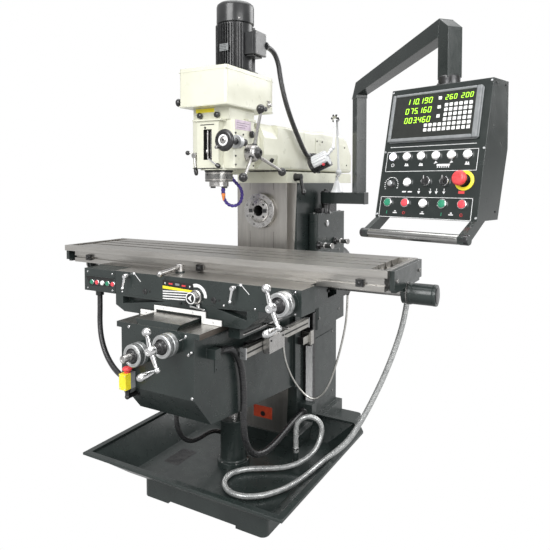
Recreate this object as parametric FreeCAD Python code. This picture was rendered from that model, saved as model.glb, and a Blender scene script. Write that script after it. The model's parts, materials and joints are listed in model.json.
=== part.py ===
"""Vertical and horizontal milling machine with ram head, table, knee and swinging control pendant.

Millimetres.  X runs to the operator's right, Y from the operator to the back, Z up.  The origin
is on the floor, at the centre of the four anchor bolts, under the column's front way.
"""
import FreeCAD
import Part
import math
import os

V = FreeCAD.Vector
os.makedirs("parts", exist_ok=True)

# ---------------------------------------------------------------- driving dimensions
TABLE_LENGTH = 1370.0
TABLE_WIDTH = 320.0
TABLE_TOP = 932.0          # height of the working face above the floor
TABLE_FRONT = -426.0
SPINDLE_Y = -300.0         # vertical spindle axis, in front of the column way
SPINDLE_NOSE = 1173.0      # lowest point of the vertical spindle with the quill up
QUILL_RADIUS = 43.0
COLUMN_HALF = 146.0        # half width of the column body
COLUMN_BACK = 440.0
COLUMN_TOP = 1186.0
WAY_HALF = 120.0           # half width of the column's dovetail face, at Y = 0
RAM_BOTTOM = 1238.0
RAM_TOP = 1412.0
KNEE_HALF = 151.0
KNEE_FRONT = -640.0
KNEE_TOP = 729.0
BASE_HALF = 270.0
BASE_FRONT = -421.0
BASE_BACK = 470.0
BASE_TOP = 95.0
TRAY_RIM = 195.0
GAP = 0.5                  # play between faces that slide or turn on each other

TABLE_BACK = TABLE_FRONT + TABLE_WIDTH
TABLE_HALF = TABLE_LENGTH / 2
TABLE_MIDDLE = (TABLE_FRONT + TABLE_BACK) / 2
SLAB_BOTTOM = TABLE_TOP - 22
BED_FRONT = TABLE_FRONT + 33
BED_BACK = TABLE_BACK - 33
BED_BOTTOM = TABLE_TOP - 70
SADDLE_TOP = BED_BOTTOM - GAP
SADDLE_LEFT = -470.0
SADDLE_RIGHT = 440.0
APRON_FRONT = -530.0
APRON_BOTTOM = 793.0
SCREW_HEIGHT = 842.0       # axis of the table's lead screw
HORIZONTAL_AXIS = 1072.0
RAM_HALF = 120.0
RAM_BACK = 678.0
HEAD_FACE = -178.0         # swivel face between the ram and the head
HEAD_HALF = 95.0
HEAD_FRONT = -340.0
HEAD_BOTTOM = 1238.0
COVER_BOTTOM = 1455.0
COVER_TOP = 1591.0
MOTOR_Y = -189.0
MOTOR_TOP = 1862.0
KNEE_SCREW_Y = -213.0
Y_CRANK = (72.0, 692.0)    # X and Z of the cross-feed shaft
Z_CRANK = (-48.0, 646.0)   # X and Z of the knee-lift shaft
X_CRANK = (414.0, 834.0)   # X and Z of the table crank shaft
DIAL_RADIUS = 37.0
ARM_PIN = (179.0, 250.0)   # X and Y of the pivot that carries the pendant arm
ARM_POST = (333.0, 250.0)
DROP_POST = (803.0, -196.2)
PENDANT_TURN = -16.0       # heading of the pendant's face, in degrees about Z
BORE_PLAY = 0.3


# ---------------------------------------------------------------- shape helpers
def block(x0, x1, y0, y1, z0, z1):
    return Part.makeBox(x1 - x0, y1 - y0, z1 - z0, V(x0, y0, z0))


def rod(start, end, radius):
    start = V(*start)
    run = V(*end) - start
    return Part.makeCylinder(radius, run.Length, start, run)


def cone(start, end, start_radius, end_radius):
    start = V(*start)
    run = V(*end) - start
    return Part.makeCone(start_radius, end_radius, run.Length, start, run)


def ball(centre, radius):
    return Part.makeSphere(radius, V(*centre))


def outline(points):
    corners = [V(*point) for point in points]
    return Part.makePolygon(corners + [corners[0]])


def prism(points, travel):
    return Part.Face(outline(points)).extrude(V(*travel))


def prism_x(points, x0, x1):
    """Extrude an outline of (y, z) points along X."""
    return prism([(x0, y, z) for y, z in points], (x1 - x0, 0, 0))


def prism_y(points, y0, y1):
    """Extrude an outline of (x, z) points along Y."""
    return prism([(x, y0, z) for x, z in points], (0, y1 - y0, 0))


def prism_z(points, z0, z1):
    """Extrude an outline of (x, y) points along Z."""
    return prism([(x, y, z0) for x, y in points], (0, 0, z1 - z0))


def join(first, *others):
    return first.fuse(list(others)).removeSplitter()


def cut(first, *others):
    return first.cut(list(others)).removeSplitter()


def round_edges(shape, radius, direction):
    """Round every straight edge that runs along the given axis."""
    way = V(*direction)
    chosen = []
    for edge in shape.Edges:
        if isinstance(edge.Curve, Part.Line) and edge.Curve.Direction.cross(way).Length < 1e-6:
            chosen.append(edge)
    return shape.makeFillet(radius, chosen)


def ring(start, end, outer, inner):
    return rod(start, end, outer).cut(rod(start, end, inner))


def save(node, *solids):
    shape = solids[0] if len(solids) == 1 else Part.makeCompound(list(solids))
    shape.exportStep("parts/" + node + ".step")
    checked = all(solid.isValid() for solid in shape.Solids)
    print(node, len(shape.Solids), "solids", round(shape.Volume / 1000), "cm3", "" if checked else "INVALID")


def hose(node, points, diameter):
    """A round cord: straight runs joined by tangent arcs as large as the runs allow."""
    route = [V(*point) for point in points]
    here = route[0]
    edges = []
    tightest = 1e9
    for before, corner, after in zip(route, route[1:], route[2:]):
        back = before - corner
        ahead = after - corner
        trim = 0.45 * min(back.Length, ahead.Length)
        half_turn = (math.pi - back.getAngle(ahead)) / 2
        radius = trim / math.tan(half_turn)
        tightest = min(tightest, radius)
        back.normalize()
        ahead.normalize()
        start = corner + back * trim
        end = corner + ahead * trim
        inward = back + ahead
        inward.normalize()
        middle = corner + inward * (radius / math.cos(half_turn) - radius)
        edges.append(Part.LineSegment(here, start).toShape())
        edges.append(Part.Arc(start, middle, end).toShape())
        here = end
    edges.append(Part.LineSegment(here, route[-1]).toShape())
    path = Part.Wire(edges)
    circle = Part.Wire(Part.Circle(route[0], route[1] - route[0], diameter / 2).toShape())
    tube = path.makePipeShell([circle], True, False)
    expected = math.pi * diameter ** 2 / 4 * path.Length
    print(node, "length", round(path.Length), "radius", round(tightest), "volume", round(tube.Volume / expected, 3))
    save(node, tube)


# ---------------------------------------------------------------- base, tray and column
def make_base():
    body = block(-BASE_HALF, BASE_HALF, BASE_FRONT, BASE_BACK, 0, BASE_TOP)
    body = round_edges(body, 24, (0, 0, 1))
    body = cut(body, block(-150, 150, BASE_FRONT - 1, BASE_BACK + 1, -1, 10))
    for x in (-235, 235):
        for y in (-385, 385):
            body = body.cut(rod((x, y, -1), (x, y, 60), 9))
    body = body.cut(rod((0, KNEE_SCREW_Y, 12), (0, KNEE_SCREW_Y, BASE_TOP + 1), 19.5))
    barb = rod((212, -95, BASE_TOP), (212, -95, 140), 13)
    save("base_casting", join(body, barb))


def make_tray():
    def wire(half, front, side_back, chamfer_x, back, z):
        points = [(-half, front), (half, front), (half, side_back), (chamfer_x, back),
                  (-chamfer_x, back), (-half, side_back)]
        return outline([(x, y, z) for x, y in points])

    floor = BASE_TOP + 6
    wall = 6
    outer = Part.makeLoft([wire(300, -460, 60, 262, 110, BASE_TOP), wire(420, -576, 87, 369, 165, TRAY_RIM)], True)
    inner = Part.makeLoft([wire(300 - wall, -460 + wall, 60 - wall / 2, 262 - wall, 110 - wall, floor),
                           wire(420 - wall, -576 + wall, 87 - wall / 2, 369 - wall, 165 - wall, TRAY_RIM + 0.1)], True)
    lip_outer = Part.Face(wire(420, -576, 87, 369, 165, TRAY_RIM - 8)).extrude(V(0, 0, 8))
    lip_inner = Part.Face(wire(398, -554, 76, 358, 143, TRAY_RIM - 9)).extrude(V(0, 0, 10))
    tray = join(outer.cut(inner), lip_outer.cut(lip_inner))
    column_hole = block(-171, 171, -11, 200, BASE_TOP - 1, TRAY_RIM + 1)
    post_hole = rod((0, KNEE_SCREW_Y, BASE_TOP - 1), (0, KNEE_SCREW_Y, floor + 1), 30)
    barb_hole = rod((212, -95, BASE_TOP - 1), (212, -95, floor + 1), 13.5)
    save("chip_tray", cut(tray, column_hole, post_hole, barb_hole))


def make_column():
    undercut = 36.0
    plan = [(-WAY_HALF, 0), (WAY_HALF, 0), (98, undercut), (COLUMN_HALF, undercut + 2),
            (COLUMN_HALF, COLUMN_BACK), (-COLUMN_HALF, COLUMN_BACK), (-COLUMN_HALF, undercut + 2), (-98, undercut)]
    body = prism_z(plan, BASE_TOP, COLUMN_TOP)
    foot = block(-170, 170, -10, BASE_BACK - 10, BASE_TOP, 150)
    cap = rod((0, 0, HORIZONTAL_AXIS), (0, -22, HORIZONTAL_AXIS), 72)
    conduit_box = block(140, 215, 40, 80, 205, 275)
    foot_gland = rod((-105, -9, 125), (-105, -34, 125), 14)
    body = join(body, foot, cap, conduit_box, foot_gland)
    hollow = block(-124, 124, 75, 418, 150, 1150)
    axis = HORIZONTAL_AXIS
    front_bore = rod((0, -23, axis), (0, 76, axis), 48 + BORE_PLAY)
    rear_bore = rod((0, 404, axis), (0, COLUMN_BACK + 1, axis), 30 + BORE_PLAY)
    save("column_casting", cut(body, hollow, front_bore, rear_bore))


def make_horizontal_spindle():
    axis = HORIZONTAL_AXIS
    body = join(rod((0, -26, axis), (0, 40, axis), 48), rod((0, 40, axis), (0, 404, axis), 34),
                rod((0, 404, axis), (0, 468, axis), 30))
    taper = cone((0, -27, axis), (0, 66, axis), 22.3, 9)
    body = body.cut(taper)
    body = body.cut(rod((0, 60, axis), (0, 469, axis), 8.5))
    for angle in (45, 135, 225, 315):
        x = 35 * math.cos(math.radians(angle))
        z = axis + 35 * math.sin(math.radians(angle))
        body = body.cut(rod((x, -27, z), (x, -8, z), 4.5))
    keys = [block(24, 40, -34, -26, axis - 7, axis + 7), block(-40, -24, -34, -26, axis - 7, axis + 7)]
    gear = ring((0, 150, axis), (0, 185, axis), 72, 34)
    save("horizontal_spindle", join(body, gear, *keys))


def make_column_fittings():
    housing = block(COLUMN_HALF, 189, 138, 438, 560, 1052)
    housing = round_edges(housing, 12, (0, 0, 1))
    dial = rod((189, 400, 720), (201, 400, 720), 44)
    pin = rod((ARM_PIN[0], ARM_PIN[1], 1052), (ARM_PIN[0], ARM_PIN[1], 1096), 15)
    housing = housing.cut(block(COLUMN_HALF - 1, COLUMN_HALF, 100, 460, 500, 1100))
    save("gearbox_housing", join(housing, dial, pin))
    barrel = join(rod((0, COLUMN_BACK + 70, 760), (0, COLUMN_BACK + 330, 760), 105),
                  rod((0, COLUMN_BACK, 760), (0, COLUMN_BACK + 70, 760), 132),
                  block(-45, 45, COLUMN_BACK + 120, COLUMN_BACK + 220, 860, 920))
    save("column_motor", barrel)
    post = join(rod((0, KNEE_SCREW_Y, BASE_TOP + 6), (0, KNEE_SCREW_Y, 280), 50),
                rod((0, KNEE_SCREW_Y, BASE_TOP + 6), (0, KNEE_SCREW_Y, 120), 62))
    save("knee_screw_post", post.cut(rod((0, KNEE_SCREW_Y, 90), (0, KNEE_SCREW_Y, 281), 18.6)))
    save("z_scale", block(COLUMN_HALF, 191, 96, 120, 246, 640))
    for node, y, z in (("gear_lever_front", 150, 921), ("gear_lever_rear", 318, 925)):
        hub = rod((189 + GAP, y, z), (204, y, z), 17)
        stem = rod((196, y, z), (240, y - 12, z + 2), 7)
        grip = rod((222, y - 7, z + 1.2), (262, y - 18, z + 3), 13)
        save(node, join(hub, stem, grip))


# ---------------------------------------------------------------- knee
def crank(axis, dial_back, dial_front, hub_front, shaft_back, shaft_radius):
    """Dial, shaft and a balanced ball crank; the grip points to the operator."""
    x, z = axis
    arm_y = hub_front + 14
    dial = rod((x, dial_front, z), (x, dial_back, z), DIAL_RADIUS)
    shaft = rod((x, hub_front, z), (x, shaft_back, z), shaft_radius)
    hub = rod((x, hub_front, z), (x, hub_front + 28, z), 15)
    upper = cone((x, arm_y, z), (x - 16, arm_y, z + 52), 9, 6)
    lower = cone((x, arm_y, z), (x + 24, arm_y, z - 54), 9, 6)
    weight = ball((x - 16, arm_y, z + 54), 14)
    boss = ball((x + 24, arm_y, z - 54), 10)
    grip = cone((x + 24, arm_y, z - 54), (x + 24, arm_y - 78, z - 54), 6, 12)
    return join(shaft, dial, hub, upper, lower, weight, boss, grip)


def make_knee():
    side = [(KNEE_FRONT, 520), (KNEE_FRONT, KNEE_TOP - 18), (-10, KNEE_TOP - 18), (-10, 360), (-557, 416)]
    body = prism_x(side, -KNEE_HALF, KNEE_HALF)
    flange = block(-172, 172, KNEE_FRONT, -10, KNEE_TOP - 18, KNEE_TOP)
    rail = prism_y([(-80, KNEE_TOP), (80, KNEE_TOP), (94, KNEE_TOP + 19), (-94, KNEE_TOP + 19)], KNEE_FRONT + 4, -10)
    ears = block(-165, 165, -11, 33, 360, KNEE_TOP)
    face = prism_z([(-WAY_HALF - GAP, -GAP), (WAY_HALF + GAP, -GAP), (98, 40), (-98, 40)], 350, KNEE_TOP + 1)
    bosses = []
    for x, z in (Y_CRANK, Z_CRANK):
        bosses.append(rod((x, KNEE_FRONT + 1, z), (x, KNEE_FRONT - 18, z), DIAL_RADIUS - 1))
    left_gland = rod((-KNEE_HALF + 1, -548, 495), (-176, -548, 495), 16)
    right_gland = block(KNEE_HALF - 1, 187, -580, -552, 636, 668)
    bottom_gland = rod((-100, -432, 420), (-100, -432, 394), 14)
    body = join(body, flange, rail, ears, left_gland, right_gland, bottom_gland, *bosses)
    trough = block(Y_CRANK[0] - 16.5, Y_CRANK[0] + 16.5, -522, -60, Y_CRANK[1] - 18, KNEE_TOP + 20)
    cavity = block(-96, 52, -290, -136, 330, 672)
    front_hollow = block(-128, 128, -600, -312, 534, 664)
    back_hollow = block(-128, 128, -114, -34, 385, 664)
    y_bore = rod((Y_CRANK[0], KNEE_FRONT - 19, Y_CRANK[1]), (Y_CRANK[0], -30, Y_CRANK[1]), 12 + BORE_PLAY)
    z_bore = rod((Z_CRANK[0], KNEE_FRONT - 19, Z_CRANK[1]), (Z_CRANK[0], -289, Z_CRANK[1]), 12 + BORE_PLAY)
    journal = rod((0, KNEE_SCREW_Y, 671), (0, KNEE_SCREW_Y, 692), 14 + BORE_PLAY)
    save("knee_casting", cut(body, face, trough, cavity, front_hollow, back_hollow, y_bore, z_bore, journal))

    screw = join(rod((0, KNEE_SCREW_Y, 224), (0, KNEE_SCREW_Y, 660), 18),
                 rod((0, KNEE_SCREW_Y, 634), (0, KNEE_SCREW_Y, 658), 23.6),
                 rod((0, KNEE_SCREW_Y, 658), (0, KNEE_SCREW_Y, 690), 14))
    save("knee_screw", screw)

    x, z = Z_CRANK
    lift = join(rod((x, -742, z), (x, KNEE_SCREW_Y - 10, z), 12), rod((x, -700, z), (x, KNEE_FRONT - 19, z), DIAL_RADIUS),
                rod((x, KNEE_SCREW_Y - 12, z), (x, KNEE_SCREW_Y + 12, z), 23.6))
    save("z_shaft", lift)
    save("y_crank", crank(Y_CRANK, KNEE_FRONT - 19, -700, -756, -40, 12))

    x = -105
    box = round_edges(block(x - 15, x + 15, -684, KNEE_FRONT - GAP, 522, 574), 4, (0, 1, 0))
    inlet = rod((x, -662, 510), (x, -662, 522), 11)
    mushroom = join(rod((x, -662, 574), (x, -662, 582), 11), cone((x, -662, 582), (x, -662, 594), 16, 13))
    save("stop_box", join(box, inlet, mushroom))

    rail = block(190, 210, -444, 20, 606, 638)
    brackets = [block(165, 190, -60, -20, 610, 634), block(KNEE_HALF, 190, -370, -330, 610, 634)]
    reader = join(block(152, 196, 62, 96 - GAP, 515, 575), block(165, 190, 10, 64, 530, 560))
    save("knee_scales", join(rail, *brackets), reader)


# ---------------------------------------------------------------- saddle
def make_saddle():
    bottom = KNEE_TOP + GAP
    top = block(SADDLE_LEFT, SADDLE_RIGHT, APRON_FRONT + 90, -100, APRON_BOTTOM, SADDLE_TOP)
    front_rail = block(SADDLE_LEFT, SADDLE_RIGHT, APRON_FRONT + 90, BED_FRONT - 4, SADDLE_TOP, 870)
    back_rail = block(SADDLE_LEFT, SADDLE_RIGHT, BED_BACK + 4, -100, SADDLE_TOP, 870)
    lower = prism_y([(-250, bottom), (262, bottom), (311, 770), (311, APRON_BOTTOM), (-292, APRON_BOTTOM), (-292, 750)],
                    APRON_FRONT + 2, -100)
    cheeks = [block(173, 218, APRON_FRONT + 40, -120, 684, bottom), block(-218, -173, APRON_FRONT + 40, -120, 684, bottom)]
    body = join(top, front_rail, back_rail, lower, *cheeks)
    dovetail = prism_y([(-80 - GAP, bottom - 1), (80 + GAP, bottom - 1), (94 + GAP, KNEE_TOP + 19 + GAP),
                        (-94 - GAP, KNEE_TOP + 19 + GAP)], APRON_FRONT, -90)
    channel = block(SADDLE_LEFT - 1, SADDLE_RIGHT + 1, TABLE_MIDDLE - 36, TABLE_MIDDLE + 36, SCREW_HEIGHT - 36, 871)
    notches = [prism_y([(-257, 757.7), (-55, 783.5), (-257, 783)], APRON_FRONT - 1, APRON_FRONT + 32),
               prism_y([(151, 784), (269, 758.8), (269, 787.6)], APRON_FRONT - 1, APRON_FRONT + 32)]
    body = cut(body, dovetail, channel, *notches)
    gear_block = block(-60, 60, TABLE_MIDDLE - 36, TABLE_MIDDLE + 36, SCREW_HEIGHT - 36, SADDLE_TOP)
    gear_block = gear_block.cut(rod((-61, TABLE_MIDDLE, SCREW_HEIGHT), (61, TABLE_MIDDLE, SCREW_HEIGHT), 13 + BORE_PLAY))
    nut = block(Y_CRANK[0] - 15.5, Y_CRANK[0] + 15.5, -330, -290, Y_CRANK[1] - 16, KNEE_TOP + 22)
    nut = nut.cut(rod((Y_CRANK[0], -331, Y_CRANK[1]), (Y_CRANK[0], -289, Y_CRANK[1]), 12 + BORE_PLAY))
    save("saddle_casting", join(body, gear_block, nut))

    apron = block(-293, 461, APRON_FRONT, APRON_FRONT + 90, APRON_BOTTOM, 872)
    boss = rod((X_CRANK[0], APRON_FRONT + 1, X_CRANK[1]), (X_CRANK[0], APRON_FRONT - 20, X_CRANK[1]), DIAL_RADIUS - 1)
    bore = rod((X_CRANK[0], APRON_FRONT - 21, X_CRANK[1]), (X_CRANK[0], APRON_FRONT + 70, X_CRANK[1]), 11 + BORE_PLAY)
    lever_post = rod((-59, -452, 872), (-59, -452, 878), 17)
    save("feed_apron", cut(join(apron, boss, lever_post), bore))

    station = block(-450, -293, APRON_FRONT, APRON_FRONT + 85, 788, 870)
    gland = rod((-420, -485, 789), (-420, -485, 764), 15)
    save("button_station", join(station, gland))
    buttons = []
    for number in range(5):
        x = -407 + 26.5 * number
        buttons.append(rod((x, APRON_FRONT, 822), (x, APRON_FRONT - 8, 822), 9.5))
    save("station_buttons", *buttons)
    save("x_crank", crank(X_CRANK, APRON_FRONT - 21, -590, -640, APRON_FRONT + 60, 11))

    knob = join(rod((75, APRON_FRONT - GAP, 815), (75, APRON_FRONT - 30, 815), 19),
                rod((75, APRON_FRONT - GAP, 815), (75, APRON_FRONT - 8, 815), 23))
    save("feed_knob", knob)
    for node, x in (("lock_lever_left", -228), ("lock_lever_right", 228)):
        hub = rod((x, APRON_FRONT - GAP, 858), (x, APRON_FRONT - 22, 858), 9)
        arm = cone((x, APRON_FRONT - 17, 858), (x - 6, APRON_FRONT - 22, 818), 6, 4)
        save(node, join(hub, arm, ball((x - 6, APRON_FRONT - 22, 816), 6)))
    hub = rod((-59, -452, 878 + GAP), (-59, -452, 903), 15)
    arm = rod((-59, -452, 890), (-54, -560, 883), 9)
    save("feed_lever", join(hub, arm, ball((-54, -560, 883), 10)))


# ---------------------------------------------------------------- table
def make_table():
    slab = block(-TABLE_HALF, TABLE_HALF, TABLE_FRONT, TABLE_BACK, SLAB_BOTTOM, TABLE_TOP)
    bed = block(-TABLE_HALF + 20, TABLE_HALF - 20, BED_FRONT, BED_BACK, BED_BOTTOM, SLAB_BOTTOM)
    table = join(slab, bed)
    tools = []
    for y in (TABLE_MIDDLE - 64, TABLE_MIDDLE, TABLE_MIDDLE + 64):
        tools.append(block(-TABLE_HALF + 60, TABLE_HALF - 60, y - 8, y + 8, TABLE_TOP - 16, TABLE_TOP + 1))
        tools.append(block(-TABLE_HALF + 60, TABLE_HALF - 60, y - 14, y + 14, TABLE_TOP - 28, TABLE_TOP - 14))
    for side in (-1, 1):
        near = side * (TABLE_HALF - 60)
        far = side * (TABLE_HALF - 14)
        tools.append(block(min(near, far), max(near, far), TABLE_FRONT + 22, TABLE_BACK - 22, TABLE_TOP - 26, TABLE_TOP + 1))
    tools.append(block(-TABLE_HALF, TABLE_HALF, BED_FRONT - 1, BED_FRONT + 8, 879, 887))
    dogs = []
    for x in (-575, -15, 590):
        dogs.append(block(x - 12, x + 12, BED_FRONT - 12, BED_FRONT + 7, 880, 886))
        dogs.append(block(x - 12, x + 12, BED_FRONT - 12, BED_FRONT, 874, 896))
    elbow = join(rod((648, TABLE_BACK - 1, 898), (648, -84, 898), 9), rod((648, -84, 906), (648, -84, 872), 9))
    elbow = join(elbow, block(640, 656, TABLE_BACK - 12, TABLE_BACK, 889, 908))
    table = cut(table, *tools)
    save("table", join(table, elbow, *dogs))

    plates = []
    for side in (-1, 1):
        inner = side * TABLE_HALF
        outer = side * (TABLE_HALF + 15)
        plate = join(block(min(inner, outer), max(inner, outer), TABLE_FRONT + 20, TABLE_BACK - 6, 871, TABLE_TOP - 2),
                     block(min(inner, outer), max(inner, outer), BED_FRONT, BED_BACK, 863, 872))
        reach = 105 if side > 0 else 24
        radius = 33 if side > 0 else 30
        end = side * (TABLE_HALF + reach)
        boss = rod((inner, TABLE_MIDDLE, SCREW_HEIGHT), (end, TABLE_MIDDLE, SCREW_HEIGHT), radius)
        bore = rod((inner - side, TABLE_MIDDLE, SCREW_HEIGHT), (side * (TABLE_HALF + 22), TABLE_MIDDLE, SCREW_HEIGHT),
                   11 + BORE_PLAY)
        plates.append(cut(join(plate, boss), bore))
    save("table_end_brackets", *plates)
    screw = join(rod((-TABLE_HALF - 20, TABLE_MIDDLE, SCREW_HEIGHT), (TABLE_HALF + 20, TABLE_MIDDLE, SCREW_HEIGHT), 11),
                 rod((-TABLE_HALF + 8, TABLE_MIDDLE, SCREW_HEIGHT), (TABLE_HALF - 8, TABLE_MIDDLE, SCREW_HEIGHT), 13))
    save("x_lead_screw", screw)


# ---------------------------------------------------------------- ram and head
def make_ram():
    base = block(-RAM_HALF, RAM_HALF, 0, RAM_BACK, COLUMN_TOP, RAM_BOTTOM - 6)
    way = prism_y([(-60, RAM_BOTTOM - 6), (60, RAM_BOTTOM - 6), (80, RAM_BOTTOM + 22), (-80, RAM_BOTTOM + 22)], 4, RAM_BACK - 4)
    save("ram_base", join(base, way))

    side = [(HEAD_FACE, RAM_BOTTOM), (RAM_BACK, RAM_BOTTOM), (RAM_BACK, RAM_TOP - 90), (RAM_BACK - 60, RAM_TOP - 20),
            (RAM_BACK - 150, RAM_TOP + 8), (330, RAM_TOP + 8), (250, RAM_TOP), (HEAD_FACE, RAM_TOP)]
    body = prism_x(side, -RAM_HALF, RAM_HALF)
    body = round_edges(body, 14, (0, 1, 0))
    middle = (RAM_BOTTOM + RAM_TOP) / 2
    front = rod((0, HEAD_FACE, middle), (0, -75, middle), 124)
    keep = join(front, block(-RAM_HALF - 1, RAM_HALF + 1, -75, RAM_BACK + 1, RAM_BOTTOM - 1, RAM_TOP + 20))
    body = body.common(keep)
    way = prism_y([(-60 - GAP, RAM_BOTTOM - 7), (60 + GAP, RAM_BOTTOM - 7), (80 + GAP, RAM_BOTTOM + 22 + GAP),
                   (-80 - GAP, RAM_BOTTOM + 22 + GAP)], -60, RAM_BACK + 1)
    hollow = block(-96, 96, -60, RAM_BACK - 30, RAM_BOTTOM + 40, RAM_TOP - 22)
    gland = block(RAM_HALF - 1, 149, 186, 214, 1286, 1314)
    save("ram", join(cut(body, way, hollow), gland))

    hub = rod((RAM_HALF + GAP, 70, 1210), (152, 70, 1210), 15)
    arm = cone((146, 70, 1210), (172, 46, 1150), 8, 6)
    save("ram_lock_lever", join(hub, arm, ball((172, 46, 1148), 10)))


def make_head():
    axis = 1325.0
    body = block(-HEAD_HALF, HEAD_HALF, HEAD_FRONT, -196, HEAD_BOTTOM, RAM_TOP)
    body = round_edges(body, 16, (0, 0, 1))
    flange = rod((0, -197, axis), (0, HEAD_FACE - GAP, axis), 104)
    boss = block(-48, 48, HEAD_FRONT - 27, HEAD_FRONT + 1, HEAD_BOTTOM, RAM_TOP)
    collar = rod((0, SPINDLE_Y, HEAD_BOTTOM - 6), (0, SPINDLE_Y, HEAD_BOTTOM + 14), 66)
    neck = block(-80, 80, -345, -185, RAM_TOP - 1, COVER_BOTTOM)
    worm = rod((104, HEAD_FRONT, 1331), (104, -285, 1331), 13)
    body = join(body, flange, boss, collar, neck, worm)
    bore = rod((0, SPINDLE_Y, HEAD_BOTTOM - 7), (0, SPINDLE_Y, RAM_TOP + 20), QUILL_RADIUS + BORE_PLAY)
    top_bore = rod((0, SPINDLE_Y, RAM_TOP + 19), (0, SPINDLE_Y, COVER_BOTTOM + 1), 22)
    slot = block(-18, 18, HEAD_FRONT - 28, SPINDLE_Y, HEAD_BOTTOM + 30, 1376)
    pinion = rod((-60, -245, 1295), (HEAD_HALF + 1, -245, 1295), 11.5 + BORE_PLAY)
    wheel_bore = rod((104, HEAD_FRONT - 1, 1331), (104, -300, 1331), 6 + BORE_PLAY)
    save("head_casting", cut(body, bore, top_bore, slot, pinion, wheel_bore))

    cover = round_edges(block(-103, 103, -397, -81, COVER_BOTTOM, COVER_TOP), 10, (0, 0, 1))
    hollow = block(-97, 97, -391, -87, COVER_BOTTOM + 6, COVER_TOP - 6)
    shaft_hole = rod((0, SPINDLE_Y, COVER_BOTTOM - 1), (0, SPINDLE_Y, COVER_BOTTOM + 7), 22)
    motor_hole = rod((0, MOTOR_Y, COVER_TOP - 7), (0, MOTOR_Y, COVER_TOP + 1), 20)
    save("belt_cover", cut(cover, hollow, shaft_hole, motor_hole))

    motor = join(rod((0, MOTOR_Y, COVER_TOP), (0, MOTOR_Y, 1603), 88), rod((0, MOTOR_Y, 1603), (0, MOTOR_Y, 1785), 75),
                 rod((0, MOTOR_Y, 1785), (0, MOTOR_Y, MOTOR_TOP), 71), block(60, 112, -222, -146, 1660, 1746))
    save("head_motor", motor)
    pulley_bottom = 1490
    motor_pulley = join(rod((0, MOTOR_Y, pulley_bottom), (0, MOTOR_Y, 1540), 42),
                        rod((0, MOTOR_Y, 1540), (0, MOTOR_Y, COVER_TOP - GAP), 14))
    save("motor_pulley", motor_pulley)
    spindle_pulley = ring((0, SPINDLE_Y, pulley_bottom), (0, SPINDLE_Y, 1540), 60, 16.1)
    hub = ring((0, SPINDLE_Y, COVER_BOTTOM - 10), (0, SPINDLE_Y, pulley_bottom), 21, 16.1)
    save("spindle_pulley", join(spindle_pulley, hub))
    belt_outer = belt_loop(62.6, 44.6, 1500, 1512)
    belt_inner = belt_loop(60.4, 42.4, 1499, 1513)
    save("drive_belt", belt_outer.cut(belt_inner))

    nose = rod((0, SPINDLE_Y, 1191), (0, SPINDLE_Y, 1226), 50)
    quill = join(rod((0, SPINDLE_Y, 1191), (0, SPINDLE_Y, 1425), QUILL_RADIUS), nose)
    save("quill", quill.cut(rod((0, SPINDLE_Y, 1190), (0, SPINDLE_Y, 1426), 25 + BORE_PLAY)))
    shaft = join(rod((0, SPINDLE_Y, SPINDLE_NOSE), (0, SPINDLE_Y, 1190), 35), rod((0, SPINDLE_Y, 1190), (0, SPINDLE_Y, 1424), 25),
                 rod((0, SPINDLE_Y, 1424), (0, SPINDLE_Y, 1584), 16))
    shaft = shaft.cut(cone((0, SPINDLE_Y, SPINDLE_NOSE - 1), (0, SPINDLE_Y, 1260), 16, 9))
    save("vertical_spindle", shaft)

    x, y, z = 118, -245, 1295
    pinion = rod((-55, y, z), (x, y, z), 11.5)
    hub = join(rod((HEAD_HALF + GAP, y, z), (136, y, z), 32), rod((136, y, z), (146, y, z), 20))
    arms = []
    for angle in (95, 215, 335):
        dy = math.cos(math.radians(angle))
        dz = math.sin(math.radians(angle))
        arms.append(rod((x, y + 20 * dy, z + 20 * dz), (155, y + 150 * dy, z + 150 * dz), 6))
        arms.append(ball((155, y + 157 * dy, z + 157 * dz), 16.5))
    save("quill_feed_handle", join(pinion, hub, *arms))
    wheel = join(rod((104, -420, 1331), (104, -402, 1331), 38), rod((104, -402, 1331), (104, -305, 1331), 6),
                 rod((104, -402, 1331), (104, HEAD_FRONT - GAP, 1331), 10))
    save("fine_feed_wheel", wheel)
    hub = rod((-69, HEAD_FRONT - GAP, 1285), (-69, HEAD_FRONT - 20, 1285), 10)
    arm = cone((-69, HEAD_FRONT - 14, 1285), (-60, HEAD_FRONT - 18, 1222), 6, 4.5)
    save("quill_lock_lever", join(hub, arm, ball((-60, HEAD_FRONT - 18, 1220), 8)))


def belt_loop(spindle_radius, motor_radius, z0, z1):
    """Space inside a belt run over two pulleys."""
    reach = MOTOR_Y - SPINDLE_Y
    slope = (spindle_radius - motor_radius) / reach
    x_scale = math.sqrt(1 - slope ** 2)
    sides = [(spindle_radius * x_scale, SPINDLE_Y + spindle_radius * slope),
             (motor_radius * x_scale, MOTOR_Y + motor_radius * slope)]
    corners = sides + [(-x, y) for x, y in reversed(sides)]
    return join(prism_z(corners, z0, z1), rod((0, SPINDLE_Y, z0), (0, SPINDLE_Y, z1), spindle_radius),
                rod((0, MOTOR_Y, z0), (0, MOTOR_Y, z1), motor_radius))


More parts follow.
